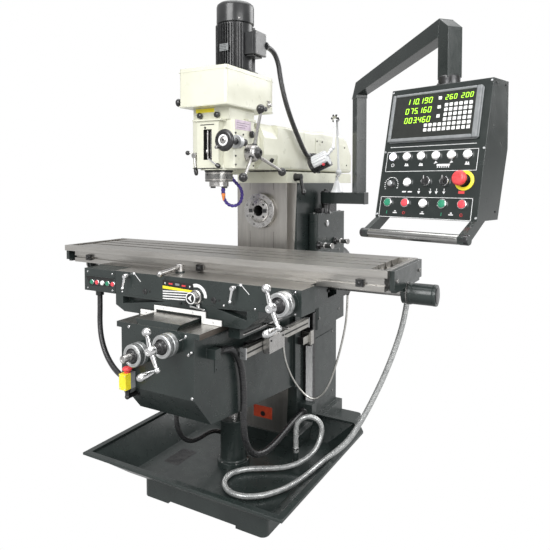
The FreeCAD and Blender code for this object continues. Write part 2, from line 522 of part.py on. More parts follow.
# ---------------------------------------------------------------- pendant arm, pendant and lamp
def make_arm():
    bar = join(block(ARM_PIN[0], 364, 226, 274, 1097, 1145), rod((ARM_PIN[0], 250, 1097), (ARM_PIN[0], 250, 1145), 24))
    x, y = ARM_POST
    run = V(DROP_POST[0] - x, DROP_POST[1] - y, 0)
    reach = run.Length
    heading = math.degrees(math.atan2(run.y, run.x))
    post = block(-22, 22, -22, 22, 1145, 1544)
    slant = [(-22, 1544), (14, 1606), (reach - 22, 1697), (reach + 27, 1661), (reach + 27, 1508 + GAP),
             (reach - 27, 1508 + GAP), (reach - 27, 1641), (22, 1555), (22, 1544)]
    beam = prism([(distance, -25, z) for distance, z in slant], (0, 50, 0))
    upright = join(post, beam)
    upright.rotate(V(0, 0, 0), V(0, 0, 1), heading)
    upright.translate(V(x, y, 0))
    save("pendant_arm", join(bar, upright))


def pendant_place(shape):
    """Put a shape drawn about the pendant's own axes where the pendant hangs."""
    shape.rotate(V(0, 0, 0), V(0, 0, 1), PENDANT_TURN)
    shape.translate(V(787, -252, 0))
    return shape


def make_pendant():
    half = 168.0
    top = 1483.0
    height = 403.0
    tilt = math.degrees(math.atan2(92, height))
    side = [(0, top), (98, top), (98, top - 197), (37, top - height), (-92, top - height)]
    box = prism_x(side, -half, half)
    inside = [(6, top - 4), (94, top - 4), (94, top - 196), (34, top - height + 4), (-86, top - height + 4)]
    box = box.cut(prism_x(inside, -half + 4, half - 4))
    neck = rod((0, 58, top - 1), (0, 58, 1508), 32)
    arms = []
    low = top - height
    bracket = [(-90, low + 1), (-34, low + 1), (-136, low - 62), (-164, low - 56), (-164, low - 38)]
    for x in (-half + 12, half - 12):
        arms.append(prism_x(bracket, x - 9, x + 9))
    bar = rod((-half - 8, -150, top - height - 46), (half + 8, -150, top - height - 46), 13)
    save("pendant_box", pendant_place(join(box, neck, bar, *arms)))

    def on_panel(shape):
        """Drawn with its back on the XZ plane, X right and -Z down the panel from its top edge."""
        shape.rotate(V(0, 0, 0), V(1, 0, 0), -tilt)
        shape.translate(V(0, 0, top))
        return pendant_place(shape)

    save("dro_console", on_panel(round_edges(block(-152, 142, -9, 0, -178, -20), 8, (0, 1, 0))))
    fixed = []
    for number in range(6):
        x = -129 + 49.6 * number
        fixed.append(on_panel(rod((x, 0, -222), (x, -10, -222), 14)))
    fixed.append(on_panel(rod((-66, 0, -303), (-66, -10, -303), 14)))
    fixed.append(on_panel(rod((-124, 0, -308), (-124, -14, -308), 12)))
    for number in range(5):
        x = -126 + 61.5 * number
        fixed.append(on_panel(rod((x, 0, -367), (x, -10, -367), 14)))
    fixed.append(on_panel(ring((113, 0, -296), (113, -8, -296), 18, 13 + GAP)))
    save("panel_buttons", *fixed)
    for node, x in (("panel_selector_left", -3), ("panel_selector_right", 57)):
        knob = join(rod((x, -GAP, -300), (x, -9, -300), 15), block(x - 5, x + 5, -20, -8, -314, -286))
        save(node, on_panel(knob))
    stop = join(rod((113, -5, -296), (113, -18, -296), 13), rod((113, -18, -296), (113, -34, -296), 21))
    save("panel_estop", on_panel(stop))


def make_lamp():
    base = join(cone((230, 250, 1145), (230, 250, 1190), 26, 11), rod((230, 250, 1189), (234, 250, 1216), 6))
    save("lamp_base", base)
    joint = (238, 250, 1232)
    elbow = (228, 250, 1464)
    tip = (264, 140, 1326)
    save("lamp_lower_arm", join(ball(joint, 14), rod(joint, elbow, 5), ball(elbow, 9)))
    arm = join(rod((228, 236, 1464), (228, 230, 1464), 12), rod((229, 232, 1462), (260, 142, 1332), 5))
    save("lamp_upper_arm", join(arm, ball((260, 142, 1332), 7)))
    start = V(250, 118, 1290)
    end = V(172, 112, 1256)
    along = end - start
    along.normalize()
    body = rod(tuple(start), tuple(end), 35)
    stem = rod((256, 124, 1318), (246, 118, 1300), 6)
    save("lamp_head", join(body, stem, ball((257, 125, 1320), 8)))


# ---------------------------------------------------------------- hoses and conduits
def make_hoses():
    hose("drain_hose", [(648, -84, 872), (648, -84, 818), (642, -86, 760), (628, -90, 682), (602, -95, 595),
                        (571, -105, 508), (535, -122, 420), (496, -140, 336), (454, -156, 264), (410, -168, 220),
                        (368, -184, 182), (330, -212, 144), (298, -258, 120), (268, -318, 113), (230, -374, 113),
                        (176, -412, 113), (114, -412, 113), (62, -370, 113), (48, -308, 113), (84, -252, 113),
                        (145, -214, 113), (206, -178, 114), (256, -138, 128), (292, -94, 158), (301, -50, 204),
                        (301.4, -48.3, 246.3), (284.4, -57.2, 272.6), (257, -71.5, 282.6), (229.6, -85.8, 272.6),
                        (212.6, -94.7, 246.3), (212, -95, 194), (212, -95, 140)], 20)
    hose("motor_cable", [(104, -146, 1704), (104, -110, 1704), (106, -72, 1690), (110, -50, 1652), (116, -50, 1610),
                         (124, -46, 1562), (131, -34, 1512), (135, -8, 1462), (136, 30, 1414), (136, 74, 1368),
                         (136, 112, 1330), (136, 150, 1300), (136, 186, 1300)], 20)
    hose("station_conduit", [(-420, -485, 764), (-420, -485, 715), (-422, -486, 662), (-410, -492, 606), (-375, -505, 556),
                             (-322, -524, 522), (-268, -540, 502), (-220, -548, 495), (-176, -548, 495)], 20)
    hose("knee_conduit", [(-100, -432, 394), (-100, -432, 348), (-101, -424, 296), (-101, -394, 246), (-102, -346, 214),
                          (-103, -292, 204), (-104, -244, 204), (-105, -200, 196), (-105, -158, 176), (-105, -120, 150),
                          (-105, -82, 130), (-105, -58, 125), (-105, -34, 125)], 18)
    hose("side_conduit", [(170, -552, 652), (170, -508, 652), (170, -456, 634), (170, -418, 586), (170, -400, 516),
                          (170, -396, 436), (170, -400, 356), (171, -386, 282), (172, -340, 228), (173, -280, 206),
                          (174, -214, 204), (175, -146, 214), (176, -82, 230), (176, -20, 240), (176, 40, 240)], 24)
    hose("scale_cable", [(222, -212, 592), (222, -208, 556), (225, -186, 500), (234, -152, 440), (254, -122, 392),
                         (284, -104, 364), (320, -98, 380), (354, -98, 432), (385, -100, 520), (412, -102, 620),
                         (428, -104, 710), (430, -106, 792)], 8)
    hose("coolant_hose", [(-78, -112, 1238), (-78, -112, 1210), (-60, -99, 1186), (-44, -88, 1164), (-40, -84, 1136),
                          (-46, -90, 1104), (-68, -108, 1090), (-92, -126, 1104), (-102, -134, 1140), (-98, -138, 1174),
                          (-86, -148, 1198), (-74, -166, 1204), (-62, -184, 1188), (-56, -192, 1166),
                          (-56, -193, 1142)], 14)


make_base()
make_tray()
make_column()
make_horizontal_spindle()
make_column_fittings()
make_knee()
make_saddle()
make_table()
make_ram()
make_head()
make_arm()
make_pendant()
make_lamp()
make_hoses()
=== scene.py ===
"""Looks of the vertical and horizontal milling machine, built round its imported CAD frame."""
import bmesh
import bpy
import json
import math
from mathutils import Matrix, Vector

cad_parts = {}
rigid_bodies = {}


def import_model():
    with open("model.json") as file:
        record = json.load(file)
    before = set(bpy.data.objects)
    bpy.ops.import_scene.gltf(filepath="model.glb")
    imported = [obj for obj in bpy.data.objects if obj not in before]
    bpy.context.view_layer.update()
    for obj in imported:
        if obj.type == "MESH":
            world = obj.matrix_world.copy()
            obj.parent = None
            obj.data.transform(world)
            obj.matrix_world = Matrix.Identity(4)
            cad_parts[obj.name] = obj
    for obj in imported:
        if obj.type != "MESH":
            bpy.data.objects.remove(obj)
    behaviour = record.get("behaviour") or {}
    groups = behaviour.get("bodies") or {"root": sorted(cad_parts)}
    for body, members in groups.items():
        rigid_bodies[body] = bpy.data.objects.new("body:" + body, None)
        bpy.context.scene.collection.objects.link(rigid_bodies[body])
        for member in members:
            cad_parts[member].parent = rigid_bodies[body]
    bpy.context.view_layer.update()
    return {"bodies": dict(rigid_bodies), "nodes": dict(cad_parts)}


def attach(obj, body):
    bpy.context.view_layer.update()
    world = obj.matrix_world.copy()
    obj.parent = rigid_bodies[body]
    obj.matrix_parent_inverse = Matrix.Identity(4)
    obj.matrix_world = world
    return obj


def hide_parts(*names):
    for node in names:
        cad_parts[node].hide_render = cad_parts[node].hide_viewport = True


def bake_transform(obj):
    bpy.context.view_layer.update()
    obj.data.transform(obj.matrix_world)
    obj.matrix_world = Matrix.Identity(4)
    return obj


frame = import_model()
scene = bpy.context.scene
MM = 0.001
RIGHT = (1, 0, 0)
LEFT = (-1, 0, 0)
BACK = (0, 1, 0)
FRONT = (0, -1, 0)
UP = (0, 0, 1)
DOWN = (0, 0, -1)

# The machine's axes, in millimetres
SPINDLE_Y = -300
HORIZONTAL_Z = 1072
FEED_SHAFT_Y = -245
FEED_SHAFT_Z = 1295
FINE_FEED_X = 104
FINE_FEED_Z = 1331
KNOB_X = 75
KNOB_Z = 815
LEAD_SCREW_Y = -266
LEAD_SCREW_Z = 842
KNEE_SCREW_Y = -213


# ---------------------------------------------------------------- materials
class Finish:
    """A Principled material with the nodes that vary it over the surface."""

    def __init__(self, name, roughness=0.4, metallic=0.0, colour=None, **sockets):
        self.material = bpy.data.materials.new(name)
        self.material.use_nodes = True
        self.tree = self.material.node_tree
        self.tree.nodes.clear()
        self.shader = self.node("ShaderNodeBsdfPrincipled")
        self.output = self.node("ShaderNodeOutputMaterial")
        self.join(self.shader.outputs[0], self.output.inputs[0])
        self.shader.inputs["Roughness"].default_value = roughness
        self.shader.inputs["Metallic"].default_value = metallic
        if colour:
            self.shader.inputs["Base Color"].default_value = (*colour, 1)
        for socket, value in sockets.items():
            self.shader.inputs[socket.replace("_", " ")].default_value = value
        self.place = None

    def node(self, kind, **settings):
        made = self.tree.nodes.new(kind)
        for key, value in settings.items():
            setattr(made, key, value)
        return made

    def join(self, source, target):
        self.tree.links.new(source, target)

    def noise(self, scale, stretch=(1, 1, 1), detail=3.0, rough=0.55):
        """Noise over the part's own coordinates, in features per metre."""
        if self.place is None:
            self.place = self.node("ShaderNodeTexCoord").outputs["Object"]
        grid = self.node("ShaderNodeMapping")
        grid.inputs["Scale"].default_value = stretch
        made = self.node("ShaderNodeTexNoise")
        made.inputs["Scale"].default_value = scale
        made.inputs["Detail"].default_value = detail
        made.inputs["Roughness"].default_value = rough
        self.join(self.place, grid.inputs["Vector"])
        self.join(grid.outputs[0], made.inputs["Vector"])
        return made.outputs["Fac"]

    def tint(self, factor, dark, light, low=0.35, high=0.65):
        """Base colour from dark to light by a factor."""
        ramp = self.node("ShaderNodeValToRGB")
        ramp.color_ramp.elements[0].position = low
        ramp.color_ramp.elements[1].position = high
        ramp.color_ramp.elements[0].color = (*dark, 1)
        ramp.color_ramp.elements[1].color = (*light, 1)
        self.join(factor, ramp.inputs[0])
        self.join(ramp.outputs[0], self.shader.inputs["Base Color"])
        return ramp.outputs[0]

    def gloss(self, factor, low, high):
        """Roughness from low to high by a factor."""
        span = self.node("ShaderNodeMapRange")
        span.inputs["From Min"].default_value = 0.3
        span.inputs["From Max"].default_value = 0.7
        span.inputs["To Min"].default_value = low
        span.inputs["To Max"].default_value = high
        self.join(factor, span.inputs["Value"])
        self.join(span.outputs[0], self.shader.inputs["Roughness"])

    def relief(self, factor, depth, edge=0.0):
        """Bump of a real depth in metres, over edges rounded by a radius."""
        bump = self.node("ShaderNodeBump")
        bump.inputs["Strength"].default_value = 1.0
        bump.inputs["Distance"].default_value = depth
        self.join(factor, bump.inputs["Height"])
        if edge:
            corner = self.node("ShaderNodeBevel", samples=4)
            corner.inputs["Radius"].default_value = edge
            self.join(corner.outputs[0], bump.inputs["Normal"])
        self.join(bump.outputs[0], self.shader.inputs["Normal"])

    def edge_wear_and_highlight(self, base, worn_and_lit_edge, radius, strength):
        """Paler colour along edges: partly paint rubbed thin, partly a painted highlight where the edges
        catch the light.
        """
        corner = self.node("ShaderNodeBevel", samples=4)
        corner.inputs["Radius"].default_value = radius
        normal = self.node("ShaderNodeNewGeometry").outputs["Normal"]
        dot = self.node("ShaderNodeVectorMath", operation="DOT_PRODUCT")
        self.join(corner.outputs[0], dot.inputs[0])
        self.join(normal, dot.inputs[1])
        span = self.node("ShaderNodeMapRange")
        span.inputs["From Min"].default_value = 0.995
        span.inputs["From Max"].default_value = 0.86
        span.inputs["To Max"].default_value = strength
        self.join(dot.outputs["Value"], span.inputs["Value"])
        mix = self.node("ShaderNodeMix", data_type="RGBA")
        self.join(span.outputs[0], mix.inputs["Factor"])
        self.join(base, mix.inputs[6])
        mix.inputs[7].default_value = (*worn_and_lit_edge, 1)
        self.join(mix.outputs[2], self.shader.inputs["Base Color"])


def painted(name, dark, light, low, high, edge, orange_peel=0.00012, grain=420, coat=0.25, worn_and_lit_edge=None):
    """Sprayed enamel over a casting or a folded sheet."""
    made = Finish(name, Coat_Weight=coat, Coat_Roughness=0.12)
    colour = made.tint(made.noise(9, detail=5), dark, light)
    # paler edges: partly worn paint, partly painted highlight
    if worn_and_lit_edge:
        made.edge_wear_and_highlight(colour, worn_and_lit_edge, edge * 1.6, 0.5)
    made.gloss(made.noise(31, detail=4), low, high)
    made.relief(made.noise(grain, detail=2), orange_peel, edge)
    return made.material


def ground(name, dark, light, low, high, along, depth=0.00005, edge=0.0008):
    """Machined metal with its tool marks running along one axis."""
    stretch = [1.0, 1.0, 1.0]
    stretch[along] = 0.02
    made = Finish(name, metallic=1.0)
    lines = made.noise(900, stretch, detail=3, rough=0.7)
    made.tint(made.noise(60, [1 if s == 1.0 else 0.08 for s in stretch], detail=6, rough=0.7), dark, light,
              0.3, 0.7)
    made.gloss(lines, low, high)
    made.relief(lines, depth, edge)
    return made.material


def turned(name, dark, light, low, high, grain=500, depth=0.00003, edge=0.0005):
    """Plain metal, such as a plated, polished or blackened handle."""
    made = Finish(name, metallic=1.0)
    made.tint(made.noise(40, detail=5), dark, light, 0.3, 0.7)
    made.gloss(made.noise(120, detail=3), low, high)
    made.relief(made.noise(grain), depth, edge)
    return made.material


def moulded(name, dark, light, low=0.3, high=0.42, grain=1400, depth=0.00004, edge=0.0006, metallic=0.0,
            **sockets):
    """Moulded plastic, rubber or a printed label."""
    made = Finish(name, metallic=metallic, **sockets)
    made.tint(made.noise(70, detail=4), dark, light)
    made.gloss(made.noise(160, detail=3), low, high)
    made.relief(made.noise(grain), depth, edge)
    return made.material


# The paler edge colours given to casting_grey, arm_green_black and motor_black are partly worn paint, partly
# painted highlight.
CASTING = painted("casting_grey", (0.013, 0.019, 0.018), (0.021, 0.029, 0.027), 0.24, 0.38, 0.0022,
                  coat=0.15, worn_and_lit_edge=(0.06, 0.07, 0.068))
ARM = painted("arm_green_black", (0.008, 0.013, 0.012), (0.014, 0.020, 0.018), 0.18, 0.28, 0.0025, 0.00006,
              coat=0.35, worn_and_lit_edge=(0.05, 0.06, 0.058))
CREAM = painted("cream_paint", (0.60, 0.60, 0.49), (0.67, 0.67, 0.56), 0.26, 0.38, 0.0025, 0.00009, 300,
                coat=0.2)
WHITE = painted("white_enamel", (0.72, 0.72, 0.70), (0.80, 0.80, 0.78), 0.25, 0.35, 0.001, 0.00004)
MOTOR = painted("motor_black", (0.011, 0.012, 0.013), (0.020, 0.021, 0.022), 0.26, 0.40, 0.0012, 0.00008,
                500,
                worn_and_lit_edge=(0.05, 0.05, 0.05))
STEEL_X = ground("machined_steel_x", (0.40, 0.385, 0.36), (0.55, 0.535, 0.51), 0.26, 0.44, 0)
STEEL_Y = ground("machined_steel_y", (0.42, 0.405, 0.38), (0.56, 0.545, 0.52), 0.24, 0.40, 1)
STEEL_Z = ground("machined_steel_z", (0.36, 0.345, 0.325), (0.48, 0.465, 0.44), 0.28, 0.44, 2)
RUBBED = ground("rubbed_steel", (0.10, 0.085, 0.07), (0.19, 0.165, 0.145), 0.30, 0.46, 1)
NOSE = turned("nose_steel", (0.17, 0.17, 0.165), (0.30, 0.295, 0.285), 0.20, 0.32)
BAR = turned("bar_steel", (0.34, 0.34, 0.33), (0.40, 0.40, 0.39), 0.12, 0.20, depth=0.000008)
RAIL = turned("rail_aluminium", (0.42, 0.41, 0.38), (0.54, 0.53, 0.50), 0.38, 0.50)
STEEL = turned("steel", (0.40, 0.39, 0.38), (0.55, 0.54, 0.53), 0.22, 0.38)
DARK_STEEL = turned("dark_steel", (0.05, 0.05, 0.052), (0.10, 0.10, 0.10), 0.28, 0.42)
CHROME = turned("chrome", (0.72, 0.72, 0.73), (0.80, 0.80, 0.80), 0.05, 0.14)
ALUMINIUM = turned("aluminium", (0.60, 0.61, 0.62), (0.74, 0.75, 0.76), 0.24, 0.40)
DIAL = turned("dial_satin", (0.55, 0.56, 0.56), (0.68, 0.69, 0.69), 0.34, 0.48)
BLACK = moulded("black_plastic", (0.010, 0.010, 0.011), (0.020, 0.020, 0.021), 0.22, 0.36, Coat_Weight=0.3)
MATT_BLACK = moulded("matt_black", (0.006, 0.006, 0.006), (0.012, 0.012, 0.012), 0.5, 0.7)
GREY = moulded("console_grey", (0.17, 0.18, 0.185), (0.22, 0.23, 0.235), 0.34, 0.46)
SCREEN = moulded("console_glass", (0.012, 0.014, 0.012), (0.017, 0.020, 0.017), 0.10, 0.18, Coat_Weight=0.4)
KEY = moulded("button_plastic", (0.74, 0.74, 0.73), (0.82, 0.82, 0.80), 0.22, 0.34)
GREEN = moulded("button_green", (0.02, 0.20, 0.11), (0.03, 0.27, 0.15), 0.22, 0.34)
RED = moulded("stop_red", (0.62, 0.045, 0.05), (0.74, 0.07, 0.075), 0.24, 0.36)
PALE_RED = moulded("button_red", (0.66, 0.05, 0.07), (0.76, 0.08, 0.10), 0.24, 0.36)
YELLOW = moulded("label_yellow", (0.80, 0.66, 0.02), (0.88, 0.76, 0.04), 0.32, 0.44)
ORANGE_RED = moulded("label_orange", (0.52, 0.055, 0.02), (0.62, 0.08, 0.03), 0.40, 0.55)
LILAC = moulded("label_lilac", (0.50, 0.40, 0.50), (0.62, 0.53, 0.60), 0.36, 0.48)
INK = moulded("printed_white", (0.74, 0.74, 0.74), (0.82, 0.82, 0.82), 0.4, 0.5)
RUBBER = moulded("rubber", (0.012, 0.012, 0.012), (0.024, 0.024, 0.024), 0.5, 0.7)
HOSE = moulded("hose_black", (0.012, 0.012, 0.013), (0.024, 0.024, 0.025), 0.24, 0.36, Coat_Weight=0.35)
CLEAR = moulded("hose_clear", (0.30, 0.31, 0.31), (0.50, 0.51, 0.50), 0.14, 0.26, metallic=0.35,
                Coat_Weight=0.8)
BRAID = turned("hose_braid", (0.50, 0.50, 0.49), (0.78, 0.78, 0.77), 0.18, 0.32)
ARMOUR = turned("armour_cable", (0.55, 0.54, 0.50), (0.72, 0.71, 0.68), 0.24, 0.40)
PURPLE = moulded("coolant_purple", (0.035, 0.018, 0.16), (0.055, 0.028, 0.24), 0.28, 0.40)
NOZZLE = moulded("nozzle_orange", (0.85, 0.22, 0.04), (0.92, 0.30, 0.07), 0.28, 0.40)
LAMP_GREY = painted("lamp_grey", (0.60, 0.61, 0.62), (0.70, 0.71, 0.72), 0.24, 0.36, 0.0008, 0.00004)
LENS = moulded("lamp_lens", (0.55, 0.56, 0.58), (0.68, 0.69, 0.70), 0.05, 0.10, Coat_Weight=0.6)
DIGIT = Finish("digit_green", 0.4, 0.0, (0.35, 0.75, 0.03), Emission_Strength=1.6,
               Emission_Color=(0.45, 0.95, 0.04, 1)).material
GLOW = Finish("lamp_white_lit", 0.3, 0.0, (0.85, 0.85, 1.0), Emission_Strength=0.9,
              Emission_Color=(0.80, 0.82, 1.0, 1)).material


# ---------------------------------------------------------------- shape helpers
def turns(count, offset=0):
    """Angles evenly spaced round a circle."""
    return [math.tau * (i + offset) / count for i in range(count)]


class Shape:
    """Solids given in millimetres that become one piece."""

    def __init__(self, place=None):
        self.mesh = bmesh.new()
        self.place = place or Matrix.Identity(4)
        self.index = 0
        self.finishes = []

    def use(self, finish):
        """The finish of whatever is added next."""
        if finish not in self.finishes:
            self.finishes.append(finish)
        self.index = self.finishes.index(finish)
        return self

    def solid(self, points, faces):
        corners = [self.mesh.verts.new((self.place @ Vector(point)) * MM) for point in points]
        for face in faces:
            made = self.mesh.faces.new([corners[i] for i in face])
            made.material_index = self.index
        return self

    def box(self, x0, x1, y0, y1, z0, z1):
        points = [(x, y, z) for x in (x0, x1) for y in (y0, y1) for z in (z0, z1)]
        faces = [(0, 1, 3, 2), (4, 6, 7, 5), (0, 4, 5, 1), (2, 3, 7, 6), (0, 2, 6, 4), (1, 5, 7, 3)]
        return self.solid(points, faces)

    def prism(self, points, travel):
        """A flat outline pushed along a vector."""
        count = len(points)
        far = [tuple(p + t for p, t in zip(point, travel)) for point in points]
        faces = [tuple(range(count)), tuple(reversed(range(count, 2 * count)))]
        for i in range(count):
            j = (i + 1) % count
            faces.append((i, i + count, j + count, j))
        return self.solid(list(points) + far, faces)

    def lathe(self, start, axis, profile, sides=40, squash=None):
        """A turned solid: (distance along the axis, radius) from start."""
        start = Vector(start)
        along = Vector(axis).normalized()
        side = along.orthogonal().normalized()
        up = along.cross(side)
        points = []
        rings = []
        for distance, radius in profile:
            middle = start + along * distance
            if radius < 0.01:
                rings.append([len(points)])
                points.append(tuple(middle))
                continue
            rings.append(list(range(len(points), len(points) + sides)))
            for turn in turns(sides):
                reach = radius * (squash(turn, distance) if squash else 1)
                points.append(tuple(middle + side * math.cos(turn) * reach + up * math.sin(turn) * reach))
        faces = []
        for first, second in zip(rings, rings[1:]):
            for i in range(sides):
                j = (i + 1) % sides
                a = (first[0], first[0]) if len(first) == 1 else (first[i], first[j])
                b = (second[0], second[0]) if len(second) == 1 else (second[i], second[j])
                face = list(dict.fromkeys((a[0], a[1], b[1], b[0])))
                if len(face) > 2:
                    faces.append(tuple(face))
        if len(rings[0]) > 1:
            faces.append(tuple(reversed(rings[0])))
        if len(rings[-1]) > 1:
            faces.append(tuple(rings[-1]))
        return self.solid(points, faces)

    def rod(self, start, end, radius, sides=32, chamfer=0.8):
        start = Vector(start)
        run = Vector(end) - start
        c = min(chamfer, radius / 3, run.length / 3)
        return self.lathe(start, run, [(0, radius - c), (c, radius), (run.length - c, radius),
                                       (run.length, radius - c)],
                          sides)

    def taper(self, start, end, first, last, sides=28):
        start = Vector(start)
        run = Vector(end) - start
        return self.lathe(start, run, [(0, first), (run.length, last)], sides)

    def ball(self, centre, radius, sides=28, axis=UP):
        start = Vector(centre) - Vector(axis).normalized() * radius
        steps = 14
        profile = []
        for i in range(steps + 1):
            angle = math.pi * i / steps
            profile.append((radius * (1 - math.cos(angle)), radius * math.sin(angle)))
        return self.lathe(start, axis, profile, sides)

    def hollow(self, start, axis, length, outer, inner, sides=40):
        """A pipe with rounded ends."""
        c = min(0.8, (outer - inner) / 4)
        return self.lathe_loop(start, axis,
                               [(c, outer), (length - c, outer), (length, outer - c), (length, inner + c),
                                             (length - c, inner), (c, inner), (0, inner + c),
                                             (0, outer - c)], sides)

    def lathe_loop(self, start, axis, profile, sides=40):
        """A closed section turned round an axis, with a hole through it."""
        start = Vector(start)
        along = Vector(axis).normalized()
        side = along.orthogonal().normalized()
        up = along.cross(side)
        points = []
        for distance, radius in profile:
            for turn in turns(sides):
                offset = side * math.cos(turn) + up * math.sin(turn)
                points.append(tuple(start + along * distance + offset * radius))
        faces = []
        count = len(profile)
        for k in range(count):
            for i in range(sides):
                j = (i + 1) % sides
                n = (k + 1) % count
                faces.append((k * sides + i, k * sides + j, n * sides + j, n * sides + i))
        return self.solid(points, faces)

    def screw(self, centre, axis, radius=4.5, height=3.5):
        """A socket-head cap screw: knurled head with a hexagon socket."""
        centre = Vector(centre)
        along = Vector(axis).normalized()
        self.lathe(centre - along * 0.5, along, [(0, radius), (height, radius), (height + 0.5, radius - 0.6),
                                                 (height + 0.5, radius * 0.55), (height * 0.4, radius * 0.5),
                                                 (height * 0.4, 0)], 12)
        return self

    def bolt(self, centre, axis, radius=6, height=4.5):
        """A hexagon bolt head on its washer."""
        centre = Vector(centre)
        along = Vector(axis).normalized()
        self.lathe(centre - along * 0.5, along, [(0, radius * 1.3), (1.6, radius * 1.3), (1.6, radius)], 24)
        self.lathe(centre + along, along, [(0, radius), (height, radius), (height + 0.6, radius * 0.82)], 6)
        return self

    def done(self, name, body, slot=None, replaces=(), bevel=0.5, segments=2, angle=38, smooth=True):
        """Make the piece, ride it on its body and give it its bevel."""
        bmesh.ops.recalc_face_normals(self.mesh, faces=self.mesh.faces)
        data = bpy.data.meshes.new(name)
        self.mesh.to_mesh(data)
        self.mesh.free()
        for finish in self.finishes:
            data.materials.append(finish)
        piece = bpy.data.objects.new(name, data)
        scene.collection.objects.link(piece)
        if smooth:
            data.shade_smooth()
            data.set_sharp_from_angle(angle=math.radians(angle))
        if bevel:
            edge = piece.modifiers.new("edge", "BEVEL")
            edge.width = bevel * MM
            edge.segments = segments
            edge.limit_method = "ANGLE"
            edge.angle_limit = math.radians(angle)
            edge.harden_normals = True
        if body:
            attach(piece, body)
        if replaces:
            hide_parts(*replaces)
        return piece


def dress(node, finishes, rule=None):
    """Give a CAD node its finishes; the rule picks one from a face's centre (mm) and normal."""
    data = frame["nodes"][node].data
    data.materials.clear()
    for finish in finishes:
        data.materials.append(finish)
    for face in data.polygons:
        face.use_smooth = True
        face.material_index = int(rule(face.center / MM, face.normal)) if rule else 0
    data.set_sharp_from_angle(angle=math.radians(32))


# ---------------------------------------------------------------- camera and light
camera_data = bpy.data.cameras.new("camera")
camera_data.lens = 35.72
camera_data.sensor_width = 36
camera_data.shift_x = -0.0173
camera_data.shift_y = -0.1257
camera = bpy.data.objects.new("camera", camera_data)
camera.location = (1.1857, -1.9358, 1.1855)
camera.rotation_euler = (math.radians(90 - 2.39), 0, math.radians(29.09))
scene.collection.objects.link(camera)
scene.camera = camera

world = bpy.data.worlds.new("studio")
world.use_nodes = True
tree = world.node_tree
around = tree.nodes["Background"]
backdrop = tree.nodes.new("ShaderNodeBackground")
backdrop.inputs[0].default_value = (1, 1, 1, 1)
backdrop.inputs[1].default_value = 1.0
direction = tree.nodes.new("ShaderNodeTexCoord")
split = tree.nodes.new("ShaderNodeSeparateXYZ")
height = tree.nodes.new("ShaderNodeMapRange")
height.inputs["From Min"].default_value = -1.0
shades = tree.nodes.new("ShaderNodeValToRGB")
for place, shade in ((0.0, 0.34), (0.46, 0.26), (0.54, 0.30), (0.72, 0.62), (1.0, 0.90)):
    if place in (0.0, 1.0):
        stop = shades.color_ramp.elements[int(place)]
    else:
        stop = shades.color_ramp.elements.new(place)
    stop.color = (shade, shade, shade, 1)
seen = tree.nodes.new("ShaderNodeLightPath")
either = tree.nodes.new("ShaderNodeMixShader")
tree.links.new(direction.outputs["Generated"], split.inputs[0])
tree.links.new(split.outputs["Z"], height.inputs["Value"])
tree.links.new(height.outputs[0], shades.inputs[0])
tree.links.new(shades.outputs[0], around.inputs[0])
tree.links.new(seen.outputs["Is Camera Ray"], either.inputs[0])
tree.links.new(around.outputs[0], either.inputs[1])
tree.links.new(backdrop.outputs[0], either.inputs[2])
tree.links.new(either.outputs[0], tree.nodes["World Output"].inputs[0])
scene.world = world
scene.view_settings.view_transform = "Standard"

LIGHTS = [
    ("key", (-0.1, -4.5, 3.3), (0.0, -0.2, 0.9), 2.6, 185),
    ("fill", (3.6, -2.0, 2.2), (0.2, 0.0, 0.9), 2.4, 95),
    ("top", (0.3, 0.2, 4.2), (0.0, 0.0, 0.0), 3.0, 80),
    ("back", (1.8, 3.4, 2.8), (0.0, 0.2, 0.9), 2.4, 70),
]
for name, place, aim, size, power in LIGHTS:
    light = bpy.data.lights.new(name, "AREA")
    light.shape = "SQUARE"
    light.size = size
    light.energy = power
    lamp = bpy.data.objects.new(name, light)
    lamp.location = place
    lamp.rotation_euler = (Vector(aim) - Vector(place)).to_track_quat("-Z", "Y").to_euler()
    scene.collection.objects.link(lamp)


# ---------------------------------------------------------------- hoses and conduits
def centreline(route):
    """Points in metres along the smooth line that a route's control points (mm) give."""
    curve = bpy.data.curves.new("line", "CURVE")
    curve.dimensions = "3D"
    curve.resolution_u = 24
    spline = curve.splines.new("NURBS")
    spline.points.add(len(route) - 1)
    for point, place in zip(spline.points, route):
        point.co = (place[0] * MM, place[1] * MM, place[2] * MM, 1)
    spline.order_u = 3
    spline.use_endpoint_u = True
    line = bpy.data.objects.new("line", curve)
    mesh = bpy.data.meshes.new_from_object(line)
    points = [vertex.co.copy() for vertex in mesh.vertices]
    bpy.data.objects.remove(line)
    bpy.data.meshes.remove(mesh)
    return points


def even(points, step):
    """The same line with its points a step apart, and its length."""
    length = sum((b - a).length for a, b in zip(points, points[1:]))
    count = max(8, round(length / step))
    spaced = [points[0]]
    travelled = 0.0
    wanted = length / count
    for a, b in zip(points, points[1:]):
        run = (b - a).length
        while travelled + run >= wanted - 1e-9 and len(spaced) < count:
            spaced.append(a.lerp(b, (wanted - travelled) / run))
            wanted += length / count
        travelled += run
    spaced.append(points[-1])
    return spaced, length


